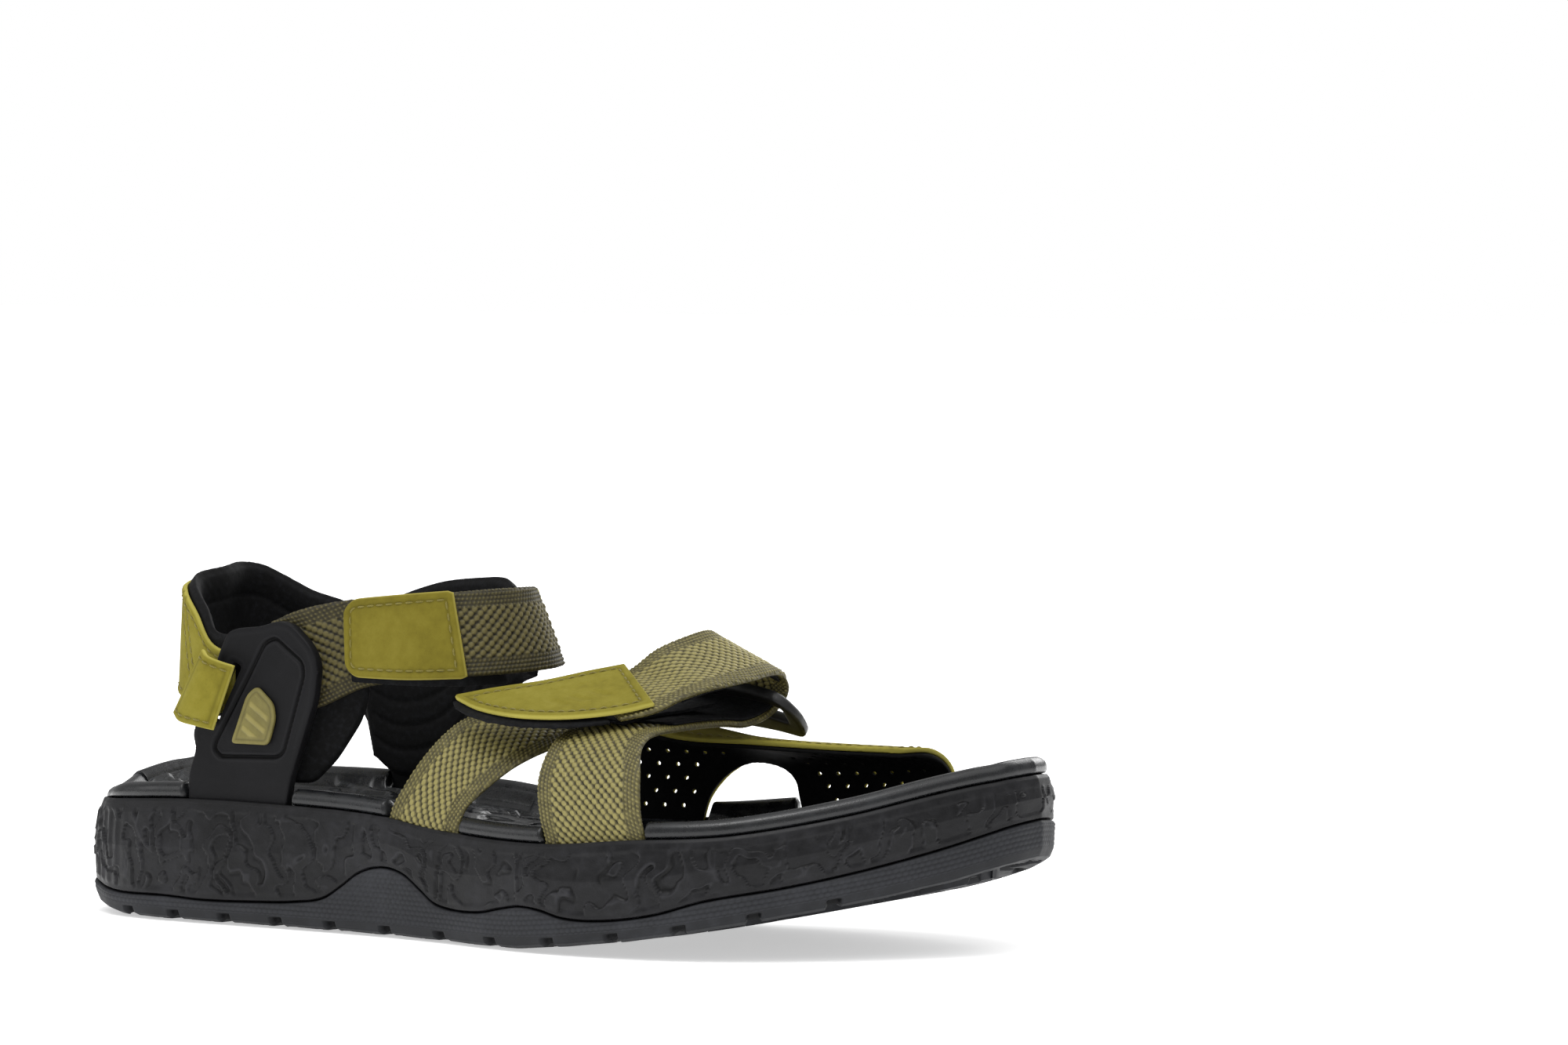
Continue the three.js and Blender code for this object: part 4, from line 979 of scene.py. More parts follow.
def poly_solid(name, outline, holes, place, depth, mat, node, res=1.0, relief=None, round_=0.7, body="sandal", back_round=None, smooth_angle=38):
    """plate cut to an outline: dense triangulated face, rounded edges, relief on the outer face.
    place(x, z, w) maps plan millimetres and depth from the outer face to shoe millimetres"""
    from mathutils.geometry import delaunay_2d_cdt
    res = res / FINE
    loops = [outline] + list(holes)
    allpts, edges, off = [], [], 0
    dens = []
    for lp in loops:
        lp = np.asarray(lp, float)
        m = len(lp)
        pts = []
        for i in range(m):
            a, b = lp[i], lp[(i + 1) % m]
            k = max(1, int(np.linalg.norm(b - a) / (res * 1.1)))
            for j in range(k):
                pts.append(a + (b - a) * j / k)
        pts = np.array(pts)
        dens.append(pts)
    o = dens[0]
    # rings inset for the rounded edge are made by distance, so only a grid is needed inside
    x0, z0 = o.min(0)
    x1, z1 = o.max(0)
    gx, gz = np.meshgrid(np.arange(x0, x1, res), np.arange(z0, z1, res * 0.87))
    gx = gx + (np.arange(gx.shape[0]) % 2)[:, None] * res * 0.5
    gx, gz = gx.ravel(), gz.ravel()
    ok = inside_poly(gx, gz, o)
    for h in dens[1:]:
        ok &= ~inside_poly(gx, gz, h)
    dmin = poly_distance(gx, gz, o)
    for h in dens[1:]:
        dmin = np.minimum(dmin, poly_distance(gx, gz, h))
    ok &= dmin > res * 0.85
    grid = np.stack([gx[ok], gz[ok]], -1)
    # extra points just inside the edge for the rounding
    extra = []
    for li, lp in enumerate(dens):
        nxt, prv = np.roll(lp, -1, 0), np.roll(lp, 1, 0)
        tg = unit(nxt - prv)
        nrm = np.stack([-tg[:, 1], tg[:, 0]], -1)
        for dd in (round_ * 0.3, round_ * 0.75):
            q = lp + nrm * dd
            q2 = lp - nrm * dd
            for cand in (q, q2):
                good = inside_poly(cand[:, 0], cand[:, 1], o)
                for h in dens[1:]:
                    good &= ~inside_poly(cand[:, 0], cand[:, 1], h)
                dm = poly_distance(cand[:, 0], cand[:, 1], o)
                for h in dens[1:]:
                    dm = np.minimum(dm, poly_distance(cand[:, 0], cand[:, 1], h))
                good &= dm > dd * 0.8
                extra.append(cand[good])
    pts = []
    for lp in dens:
        m = len(lp)
        edges += [(off + i, off + (i + 1) % m) for i in range(m)]
        pts.append(lp)
        off += m
    allp = np.concatenate(pts + extra + [grid])
    res_ = delaunay_2d_cdt([Vector(p) for p in allp], edges, [], 0, 1e-5)
    vv = np.array([tuple(p) for p in res_[0]])
    tris = np.array([t for t in res_[2] if len(t) == 3])
    c = vv[tris].mean(1)
    good = inside_poly(c[:, 0], c[:, 1], o)
    for h in dens[1:]:
        good &= ~inside_poly(c[:, 0], c[:, 1], h)
    tris = tris[good]
    used = np.unique(tris)
    remap = -np.ones(len(vv), int)
    remap[used] = np.arange(len(used))
    vv, tris = vv[used], remap[tris]
    a, b, c_ = vv[tris[:, 0]], vv[tris[:, 1]], vv[tris[:, 2]]
    area = (b[:, 0] - a[:, 0]) * (c_[:, 1] - a[:, 1]) - (b[:, 1] - a[:, 1]) * (c_[:, 0] - a[:, 0])
    tris[area < 0] = tris[area < 0][:, ::-1]
    n = len(vv)
    e = poly_distance(vv[:, 0], vv[:, 1], o)
    for h in dens[1:]:
        e = np.minimum(e, poly_distance(vv[:, 0], vv[:, 1], h))
    fall = lambda r: r * (1 - np.sqrt(np.clip(1 - np.clip(1 - e / r, 0, 1) ** 2, 0, 1)))
    w_out = fall(round_)
    groove = np.zeros(n)
    ridge = np.zeros(n)
    if relief is not None:
        dz, groove, ridge = relief(vv[:, 0], vv[:, 1], e)
        w_out = w_out - dz
    rb = round_ if back_round is None else back_round
    w_in = depth - fall(rb)
    Vt = np.array([place(x, z, w) for (x, z), w in zip(vv, w_out)])
    Vb = np.array([place(x, z, w) for (x, z), w in zip(vv, w_in)])
    # boundary edges, found from the triangles
    ed = np.concatenate([tris[:, [0, 1]], tris[:, [1, 2]], tris[:, [2, 0]]])
    key = np.sort(ed, 1)
    uniq, inv, cnt = np.unique(key, axis=0, return_inverse=True, return_counts=True)
    bnd = ed[cnt[inv.ravel()] == 1]
    F = [tuple(t) for t in tris] + [tuple(n + t[::-1]) for t in tris] + [(p[1], p[0], n + p[0], n + p[1]) for p in bnd]
    v_ = row(np.concatenate([Vt, Vb]))
    ft = tris
    s = volume_sign(v_, np.concatenate([tris, n + tris[:, ::-1]]))
    quad_f = np.array([(p[1], p[0], n + p[0], n + p[1]) for p in bnd])
    s += volume_sign(v_, quad_f)
    if s < 0:
        F = [f[::-1] for f in F]
    ob = obj_from(name, v_, F, mat)
    # the relief's groove and ridge masks: painted shade and painted highlight where the material reads them
    set_attr(ob, "groove", np.concatenate([groove, groove * 0]))
    set_attr(ob, "ridge", np.concatenate([ridge, ridge * 0]))
    ea = np.clip(1 - e / 0.5, 0, 1)
    set_attr(ob, "edge", np.concatenate([ea * 0.6, ea * 0.6]))
    set_attr(ob, "rise", np.concatenate([np.ones(n), np.ones(n)]))
    if body:
        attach(ob, body)
    if node:
        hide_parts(node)
    return ob


def lean(z, z0, k): return np.maximum(0, z - z0) * k
def lat_y(x, z): return edge_lat(x) + lean(z, 42, 0.035)
def med_y(x, z): return edge_med(x) - lean(z, 42, 0.07)


# ------------------------------------------------------------------ lateral support
Q_OUT = rounded([(45.5, float(zt(45)) - 5, 0.5), (45.8, 43), (48.3, 50.2, 2), (47, 54.6, 2), (56.6, 79.4, 1), (59, 84.4, 2), (62.4, 85.6, 1.5), (70.6, 86.4), (76.8, 88.2, 2), (81.9, 87.5, 2.5), (88.8, 81.6, 2.5), (91.8, 76.2, 3), (90.8, 66.4, 3), (82.4, 42.4), (80.2, float(zt(80)) - 5, 0.5)], 2)
Q_SLOT = rounded([(53.2, 59.6), (61.4, 76), (64.2, 74.6), (56, 58.2)], 1)
# engraved frame, open ground, and the seat of the inlay
Q_FRAME = rounded([(72.4, 81.6), (76.2, 83.4), (86.2, 76.6), (86.9, 73.2), (80, 50.6), (77.6, 49), (57.2, 48.4), (55.2, 50.6), (55.6, 52.8)], 1.6)


def quarter_relief(x, z, e):
    d = poly_distance(x, z, Q_FRAME)
    inn = inside_poly(x, z, Q_FRAME)
    cut_ = np.exp(-(d / 0.5) ** 4)
    second = np.exp(-((d - 1.0) / 0.3) ** 2)
    hem = np.exp(-((e - 1.5) / 0.5) ** 2) * (z > 52)
    dz = -cut_ * 1.0 + second * 0.16 + hem * 0.1 - np.where(inn, smooth01(d / 0.8), 0) * 0.25
    # painted shade in the engraved frame cut, painted highlight on the raised lines beside it
    return dz, np.clip(cut_ * 1.4, 0, 1.4), np.clip(hem * 0.15 + second * 0.35, 0, 1)


def build_lateral_quarter():
    ob = poly_solid("visual_lateral_quarter", Q_OUT, [Q_SLOT], lambda x, z, w: (x, float(lat_y(x, z)) + w, z), 3.6, MOULD, "lateral_quarter", res=0.42, relief=quarter_relief, round_=0.7)
    b_out = rounded([(61.6, 52.4), (67, 66.6), (70.6, 69.4), (76.6, 64.4), (77.4, 60), (75, 52.4)], 1.8, 6)

    def br(x, z, e):
        # generic mark: three slanted ridges inside a fine border
        g = np.exp(-((e - 1.3) / 0.28) ** 2)
        ph = (x - 62.2) * 0.55 + (z - 51) * 0.83
        rid = smooth01((np.cos(2 * math.pi * ph / 3.6) - 0.1) * 2.2) * smooth01((e - 2.0) / 0.4)
        # painted shade in the border groove, painted highlight on the ribs
        return rid * 0.28 - g * 0.15, g * 0.5, rid * 0.3
    poly_solid("visual_badge", b_out, [], lambda x, z, w: (x, float(lat_y(x, z)) - 1.1 + w, z), 1.2, INLAY, "lateral_quarter_badge", res=0.35, relief=br, round_=0.35)
    return ob


def build_lateral_pad():
    pad = rounded([(53, 41.2, 2), (56, 50), (68, 67), (74.5, 84.5, 3), (84, 84, 4), (96, 80, 5), (99.6, 68, 5), (97, 59), (90.6, 48), (84.4, 41.2, 2)], 3)

    def rel(x, z, e):
        hem = np.exp(-((e - 2.1) / 0.5) ** 2)
        q = 0.12 * (np.cos(2 * math.pi * z / 1.1) * np.cos(2 * math.pi * x / 1.1))
        return q * 0.35 - hem * 0.4 + (fbm(x / 6, z / 6, 2) - 0.5) * 0.3, hem * 0.7, q * 0
    ob = poly_solid("visual_lateral_pad", pad, [], lambda x, z, w: (x, float(lat_y(x, z)) + 6.5 + w + max(0, x - 80) * 0.45, z), 3.2, KNIT, "lateral_quarter_pad", res=0.8, relief=rel, round_=1.5, back_round=1.4)
    return ob


def build_medial_quarter():
    out = rounded([(74, float(zt(74)) - 5, 0.5), (73.4, 39), (62.4, 60), (46, 72), (40.4, 77, 2), (38, 82, 4), (44.5, 86.6, 5), (57, 85), (72, 74), (83, 64), (93, 52, 5), (103, 39), (104, float(zt(104)) - 5, 0.5)], 3)
    s1 = rounded([(50.2, 72.2), (56.2, 81.6), (58.6, 80.2), (52.6, 70.8)], 1)
    s2 = rounded([(45.6, 77.6), (50.4, 84), (52.4, 82.7), (47.6, 76.3)], 0.8)

    def rel(x, z, e):
        g = np.exp(-((e - 2.4) / 0.45) ** 2) * (z > 44)
        # painted shade in the hem groove
        return -g * 0.3, g * 0.7, g * 0
    return poly_solid("visual_medial_quarter", out, [s1, s2], lambda x, z, w: (x, float(med_y(x, z)) - w, z), 3.6, MOULD, "medial_quarter", res=1.0, relief=rel, round_=0.8)


# ================================================================== HEEL SLING
def sling_plan(z):
    k = (z - 66) / 32
    b = 25.4 + 3 * k
    base = [[58.4, -27.8], [50, -27.6], [40.5, -25.7], [32.6, -20.6], [27.2, -11.5], [b, 0], [27.4, 11], [31, 18.6], [37, 23.4], [43, 25.2]]
    return [[x + (2 + (b - 25.4) * 0.6 if 1 < i < 9 else 0), y, z] for i, (x, y) in enumerate(base)]


SLING_TOP = [77.2, 80.6, 88.5, 94.6, 97.2, 98.4, 97.6, 94, 88, 82.6]
SLING_BOT = [60.6, 60.8, 62.6, 64.8, 66.6, 67.4, 67.2, 67.6, 70, 74.6]


def sling_edge(zs): return [sling_plan(z)[i] for i, z in enumerate(zs)]


def inset2(poly, d):
    out = []
    for i, p in enumerate(poly):
        a, b = poly[max(0, i - 1)], poly[min(len(poly) - 1, i + 1)]
        dx, dy = b[0] - a[0], b[1] - a[1]
        l = math.hypot(dx, dy)
        out.append([p[0] + dy / l * d, p[1] - dx / l * d])
    return out


def lining_plan(z):
    return [[61.5, -24.6]] + inset2(sling_plan(z), 2.75)[1:9] + [[52, 22.2], [62, 22.2]]


LIN_TOP = [83, 83.2, 90.4, 96.2, 99, 100.6, 101.4, 100.4, 97, 92.8, 90.4]
LIN_BOT = [62, 60.8, 62.6, 64.8, 66.4, 67, 67, 67.4, 69, 71, 75]


def lining_edge(zs): return [[*lining_plan(z)[i][:2], z] for i, z in enumerate(zs)]


def knit_height(along, across, k=1.0):
    a = np.cos(2 * math.pi * along / 1.15)
    b = np.cos(2 * math.pi * (across / 0.95 + (np.floor(along / 1.15 * 2) % 2) * 0.5))
    return (a * b) * 0.5 + 0.5


def build_sling():
    band = Band(sling_edge(SLING_BOT), sling_edge(SLING_TOP), 1)
    # which way is outward: away from the ankle's middle
    mid = band.at(np.array([0.5]), np.array([0.5]), np.array([0.0]))[0]
    nrm = band._pick(band.N, np.array([0.5]))[0]
    if nrm[0] > 0:
        band.N = -band.N

    def seam_fn(along, across, e):
        # double seam running up and back beside the lateral support
        c = along - (17.0 + (across - 10) * 0.42)
        return np.minimum(np.abs(c), np.abs(c - 3.2))
    ob = leather_piece("visual_heel_sling", band, full, 1.4, "heel_sling_leather", mat=OLIVE_HIDE, res=0.7,
                       dents=[(lambda a, c, e: np.abs(e - 2.2), 0.16, 0.5), (seam_fn, 0.28, 0.45)],
                       extra=lambda a, c, e: 0.25 * np.exp(-((e - 1.0) / 0.8) ** 2))
    W = band.wide
    s = np.linspace(0.015, 0.985, 160)
    paths = []
    for tt in (lambda s: 2.2 / W(s), lambda s: 1 - 2.2 / W(s)):
        paths.append(band_line(band, tt, 0.015, 0.985, 0.72, 200))
    tot = band.total
    for c0 in (17.0, 20.2):
        P, N = [], []
        for f in np.linspace(0.1, 0.9, 30):
            s_ = (c0 + 0.42 * (f * float(W(np.array([c0 / tot]))[0]) - 10)) / tot
            P.append(band.at(np.array([s_]), np.array([f]), np.array([0.62]))[0])
            N.append(unit(band._pick(band.N, np.array([s_])))[0])
        paths.append((np.array(P), np.array(N)))
    stitches("visual_heel_sling_stitching", paths, length=2.3, gap=0.8, radius=0.26, body="sandal")

    # padded lining with a rolled top edge
    lb = Band(lining_edge(LIN_BOT), lining_edge(LIN_TOP), 1)
    n0 = lb._pick(lb.N, np.array([0.5]))[0]
    if n0[0] > 0:
        lb.N = -lb.N                              # outward
    res = 0.75 / FINE
    ns, nt = int(lb.total / res), int(lb.width.max() / res)
    S = np.repeat(np.linspace(0, 1, ns)[:, None], nt, 1)
    T = np.repeat(np.linspace(0, 1, nt)[None, :], ns, 0)
    along, across = S * lb.total, T * lb.wide(S[:, 0])[:, None]
    wid = lb.wide(S[:, 0])[:, None]
    kn = knit_height(along, across)
    e_top = wid - across
    roll = np.clip(1 - e_top / 1.6, 0, 1) ** 2 * 0.9
    bolster = 0.45 * np.exp(-((e_top - 4.0) / 3.0) ** 2)
    seam_in = np.exp(-((e_top - 9.0) / 0.6) ** 2) * 0.4
    ho = 1.5 - roll + 0.08 * kn
    hi = -1.5 + roll - bolster - 0.14 * kn + seam_in + (fbm(along / 8, across / 8, 4) - 0.5) * 0.4
    ho = np.where(e_top < 5.4, ho, np.minimum(ho, 1.45))
    Po, Pi = row(lb.at(S, T, ho)), row(lb.at(S, T, hi))
    ob2 = slab("visual_heel_sling_lining", Po, Pi, KNIT, edge_round=0.5, uv=np.stack([along / 100, across / 100], -1), steps=4)
    # rise drives the knit's painted shade: darker in the knit's hollows and along the inner seam
    r = np.full(len(ob2.data.vertices), 0.8)
    n = ns * nt
    r[:n] = kn.ravel() * 0.6 + 0.4
    r[n:2 * n] = kn.ravel() * 0.6 + 0.4 - (seam_in * 1.2).ravel()
    set_attr(ob2, "rise", np.clip(r, 0, 1))
    ride(ob2, "heel_sling_lining")


def build_loops():
    latB = Band([[57.4, -37.1, 56.4], [52.4, -38.3, 57.4], [46.4, -38.3, 58.6], [42.6, -35.5, 60.4]], [[64.8, -37, 75], [60.6, -38, 76.2], [56.2, -38, 77.6], [52.8, -35.4, 79.2]], 1)
    if latB._pick(latB.N, np.array([0.5]))[0][1] > 0:
        latB.N = -latB.N
    leather_piece("visual_lateral_loop", latB, full, 1.4, "lateral_sling_loop", res=0.55,
                  dents=[(lambda a, c, e: np.abs(e - 1.8), 0.14, 0.5)])
    W = latB.wide
    paths = [band_line(latB, lambda s: 1.9 / W(s), 0.06, 0.97, 0.74, 40), band_line(latB, lambda s: 1 - 1.9 / W(s), 0.06, 0.97, 0.74, 40)]
    stitches("visual_lateral_loop_stitching", paths, length=2.0, gap=0.7, radius=0.25, body="sandal")
    medB = Band([[46, 37.4, 74.4], [42.4, 38, 75.6], [38.6, 36.6, 76.6], [36.2, 33.6, 77]], [[51.4, 36.8, 82.4], [47.8, 37.4, 84.4], [43.4, 36.4, 86.8], [39.4, 33.4, 87.6]], 1)
    if medB._pick(medB.N, np.array([0.5]))[0][1] < 0:
        medB.N = -medB.N
    leather_piece("visual_medial_loop", medB, full, 1.4, "medial_sling_loop", res=0.55,
                  dents=[(lambda a, c, e: np.abs(e - 1.5), 0.14, 0.5)])
    W2 = medB.wide
    paths = [band_line(medB, lambda s: 1.6 / W2(s), 0.06, 0.95, 0.74, 40), band_line(medB, lambda s: 1 - 1.6 / W2(s), 0.06, 0.95, 0.74, 40)]
    stitches("visual_medial_loop_stitching", paths, length=2.0, gap=0.7, radius=0.25, body="sandal")


# ================================================================== ANKLE STRAP
ANK_T = [[52.6, 36.6, 82.8], [62, 36.4, 85.8], [80, 34.6, 89.2], [98, 30.8, 92.8], [114, 25.4, 95.8], [127, 18.4, 96.8], [135.6, 12.6, 97.4]]
ANK_B = [[56.4, 37.4, 62.6], [70, 37.8, 66.6], [86, 36.2, 69.2], [103, 32.8, 71.6], [119, 27.6, 73.4], [133, 21.2, 74.9], [142.8, 15.2, 75.5]]
WING_T = [[64, 24.6, 84], [78, 24.8, 91], [96, 22.6, 96.6], [113, 18.2, 98.8], [126, 12.8, 99.3], [131.6, 8.2, 97.4]]
WING_B = [[69.6, 28.2, 45], [79, 27.8, 39.6], [97, 26.2, 43], [114, 22.4, 60], [128.6, 16.6, 69.4], [137.6, 10.8, 72.2]]
CLO_T = [[138.6, 8.2, 97.5], [141, 0, 98], [139, -10.4, 98.2], [131.8, -20.6, 97.6], [118, -26, 96.4], [104.6, -27.2, 95]]
CLO_B = [[147, 10.4, 75.4], [149.2, 1.6, 75.2], [146, -10.6, 74.6], [137.4, -22, 74], [121, -27.2, 73.4], [106.6, -28.6, 73.8]]


def outward_side(band, centre, s=0.5):
    """flip the band's normals so that they point away from centre"""
    p = band.at(np.array([s]), np.array([0.5]), np.array([0.0]))[0]
    n = band._pick(band.N, np.array([s]))[0]
    if np.dot(n, p - np.asarray(centre, float)) < 0:
        band.N = -band.N
    return band


def webbing_on(name, band, node, body="sandal", thickness=1.8, rise=0.95, bottom_rise=0.35, res=0.30, shift=0.0, mat=None):
    res = res / FINE
    n_s, n_t = max(8, int(band.total / res)), max(8, int(band.width.max() / res))
    s = np.linspace(0, 1, n_s)[:, None]
    t = np.linspace(0, 1, n_t)[None, :]
    width = band.wide(s[:, 0])[:, None]
    along, across = s * band.total + 0 * t, t * width
    h, tone = bump_field(along, across, width)
    edge = np.minimum(across, width - across)
    roll = np.clip(1 - edge / 0.9, 0, 1) ** 2 * thickness * 0.32
    scallop = np.clip(1 - edge / 0.8, 0, 1) * 0.16 * np.cos(2 * math.pi * along / 2.4)
    top = thickness / 2 - rise * 0.55 + rise * h - roll + shift + scallop + (fbm(along / 9, across / 9, 5) - 0.5) * 0.1
    bot = -thickness / 2 + bottom_rise * 0.3 - bottom_rise * 0.5 * h + roll + shift
    Po = row(band.at(s + 0 * t, t + 0 * s, top))
    Pi = row(band.at(s + 0 * t, t + 0 * s, bot))
    ob = slab(name, Po, Pi, mat or OLIVE_WEB, edge_round=0.25, uv=np.stack([along / 100, across / 100], -1))
    n = n_s * n_t
    # rise: knot height, which the yarn material turns into painted shade in the hollows and a painted highlight on the
    # crowns
    ra = np.full(len(ob.data.vertices), 0.6)
    ra[:n] = (h * 1.25).ravel()
    ra[n:2 * n] = (h * 1.25).ravel()
    set_attr(ob, "rise", np.clip(ra, 0, 1))
    tn = np.full(len(ob.data.vertices), 0.4)
    tn[:n] = tone.ravel()
    tn[n:2 * n] = tone.ravel()
    set_attr(ob, "tone", tn)
    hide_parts(node)
    if body:
        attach(ob, body)
    return ob


ANKLE_CENTRE = (95, 0, 84)
INSTEP_CENTRE = (175, 0, 45)


def build_ankle():
    ank = outward_side(Band(ANK_B, ANK_T), ANKLE_CENTRE)
    webbing_on("visual_ankle_webbing", ank, "ankle_strap_webbing", mat=ANKLE_WEB)
    # bar-tack rows where the webbing is sewn at its slot
    W = ank.wide
    paths = []
    for s_ in (0.075, 0.12):
        t = np.linspace(0.06, 0.94, 30)
        P = ank.at(np.full(30, s_), t, np.full(30, 0.95))
        N = unit(ank._pick(ank.N, np.full(30, s_)))
        paths.append((P, N))
    stitches("visual_ankle_webbing_stitching", paths, length=1.8, gap=0.6, radius=0.28, body="sandal")

    # padded wing behind it, with moulded horizontal ridges
    wing = outward_side(Band(WING_B, WING_T), ANKLE_CENTRE)
    res = 0.8 / FINE
    ns, nt = int(wing.total / res), int(wing.width.max() / res)
    S = np.repeat(np.linspace(0, 1, ns)[:, None], nt, 1)
    T = np.repeat(np.linspace(0, 1, nt)[None, :], ns, 0)
    wid = wing.wide(S[:, 0])[:, None]
    along, across = S * wing.total, T * wid
    kn = knit_height(along, across)
    e = np.minimum(np.minimum(across, wid - across), np.minimum(along, wing.total - along))
    roll = np.clip(1 - e / 2.0, 0, 1) ** 2 * 1.3
    chan = np.exp(-((np.mod(across + 3, 7.2) - 3.6) / 0.75) ** 2) * smooth01((e - 2) / 2)
    hi = -1.8 + roll + chan * 0.35 - 0.12 * kn - 0.18 * (1 - chan) * smooth01((e - 2) / 2)
    ho = 1.8 - roll + 0.08 * kn - chan * 0.35
    ob = slab("visual_medial_wing_pad", row(wing.at(S, T, ho)), row(wing.at(S, T, hi)), KNIT, edge_round=0.42, uv=np.stack([along / 100, across / 100], -1), steps=4)
    n = ns * nt
    # rise drives the knit's painted shade: darker in the knit's hollows and in the channels
    r = np.full(len(ob.data.vertices), 0.8)
    v = np.clip(kn * 0.5 + 0.5 - chan * 0.5, 0, 1).ravel()
    r[:n] = v
    r[n:2 * n] = v
    set_attr(ob, "rise", r)
    ride(ob, "medial_wing_pad")

    # leather patch over the joint at the front
    fp = outward_side(Band([[130.0, 25.4, 74.6], [136.0, 22.3, 74.8], [140.6, 19.5, 75.1]], [[123.9, 22.9, 96.4], [129.3, 19.7, 96.6], [133.8, 17, 96.6]]), ANKLE_CENTRE)
    leather_piece("visual_ankle_front_patch", fp, full, 1.4, "ankle_front_patch", res=0.5, dents=[(lambda a, c, e: np.abs(e - 1.9), 0.14, 0.5)])
    Wf = fp.wide
    stitches("visual_ankle_front_patch_stitching", [band_line(fp, lambda s: 1.9 / Wf(s), 0.08, 0.92, 0.74, 30), band_line(fp, lambda s: 1 - 1.9 / Wf(s), 0.08, 0.92, 0.74, 30)], length=2.0, gap=0.7, radius=0.25, body="sandal")

    # lateral half: fixed strap and loop pile, then the flap that closes on it
    anc = outward_side(Band([[78.6, -28.7, 61.2], [88.4, -27.2, 63.6], [101, -23, 69.4], [115, -21.6, 71.4], [128, -18.6, 72.2]], [[72, -27.6, 87.6], [82, -26.9, 91.4], [97, -20.9, 94.4], [113, -19.7, 94], [125, -16.9, 93]]), ANKLE_CENTRE)
    webbing_on("visual_ankle_anchor_webbing", anc, "ankle_anchor_webbing", rise=0.7, mat=ANKLE_WEB)
    pile = outward_side(Band([[102.6, -24.5, 71.2], [115, -23.2, 72.6], [127, -20.4, 73.4]], [[99.4, -23, 89.6], [113, -21.8, 90.6], [124, -19.2, 90.8]]), ANKLE_CENTRE)
    fuzz_piece("visual_ankle_pile", pile, 1.0, "ankle_anchor_pile", HOOK, 0.0, "sandal", loops=True)

    clo = outward_side(Band(CLO_B, CLO_T), ANKLE_CENTRE, 0.3)
    wob = webbing_on("visual_ankle_closure_webbing", clo, "ankle_closure_webbing", body=None, mat=ANKLE_WEB)
    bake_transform(wob)

    tab = outward_side(Band([[137, -24, 73.4], [121, -29.4, 72.8], [106, -31, 73], [100.6, -31.1, 73.2]], [[131.4, -22.9, 98], [118, -28, 96.8], [105, -29.4, 95.4], [99, -29.7, 94.6]]), ANKLE_CENTRE)

    def rounded_end(s):
        # rear corners rounded off
        d = (1 - s) * tab.total
        r = 5.0
        w = tab.wide(s)
        c = np.where(d < r, r - np.sqrt(np.clip(r * r - (r - d) ** 2, 0, None)), 0) / w
        d0 = s * tab.total
        c0 = np.where(d0 < 1.5, (1.5 - d0) * 0.4, 0) / w
        return c + c0, 1 - c - c0
    # the ankle tab uses the darker nubuck copy, painted shade
    leather_piece("visual_ankle_tab", tab, rounded_end, 1.4, "ankle_closure_tab", shift=1.3, mat=OLIVE_TAB_SHADED, res=0.5, body="ankle_flap",
                  dents=[(lambda a, c, e: np.abs(e - 2.3), 0.16, 0.5)], extra=lambda a, c, e: 0.12 * np.exp(-((e - 1.0) / 0.8) ** 2))
    Wt = tab.wide
    tot = tab.total
    ins = 2.4
    s0, s1 = ins / tot, 1 - ins / tot
    P1 = band_line(tab, lambda s: ins / Wt(s), s0, 1 - 4.4 / tot, 2.02, 60)
    P2 = band_line(tab, lambda s: 1 - ins / Wt(s), s0, 1 - 4.4 / tot, 2.02, 60)
    # round corner and the rear edge
    corner_s, corner_t = [], []
    r = 2.0
    for k in np.linspace(0, math.pi / 2, 8):
        corner_s.append(1 - (4.4 - r * math.sin(k) + 0.0) / tot)
        corner_t.append((ins + r * (1 - math.cos(k))) / float(Wt(np.array([0.97]))[0]))
    cs, ct = np.array(corner_s), np.array(corner_t)
    allS = np.concatenate([cs, cs[::-1]])
    allT = np.concatenate([ct, 1 - ct[::-1]])
    Pc = tab.at(allS, allT, np.full(len(allS), 2.02))
    Nc = unit(tab._pick(tab.N, allS))
    t_f = np.linspace(ins / 25, 1 - ins / 25, 24)
    Pf = (tab.at(np.full(24, s0), t_f, np.full(24, 2.02)), unit(tab._pick(tab.N, np.full(24, s0))))
    stitches("visual_ankle_tab_stitching", [P1, P2, (Pc, Nc), Pf], length=2.2, gap=0.7, radius=0.27, body="ankle_flap")
    hook = outward_side(Band([[142.2, -12, 71.6], [134.2, -20.6, 71.2], [120.4, -25.6, 71], [99.2, -26.8, 71.4]], [[135.2, -11.6, 96.2], [129.6, -20.2, 96], [117.4, -24.4, 95], [97.8, -25.4, 93]]), ANKLE_CENTRE)
    fuzz_piece("visual_ankle_hook", hook, 1.2, "ankle_closure_hook", HOOK, -0.15, "ankle_flap")


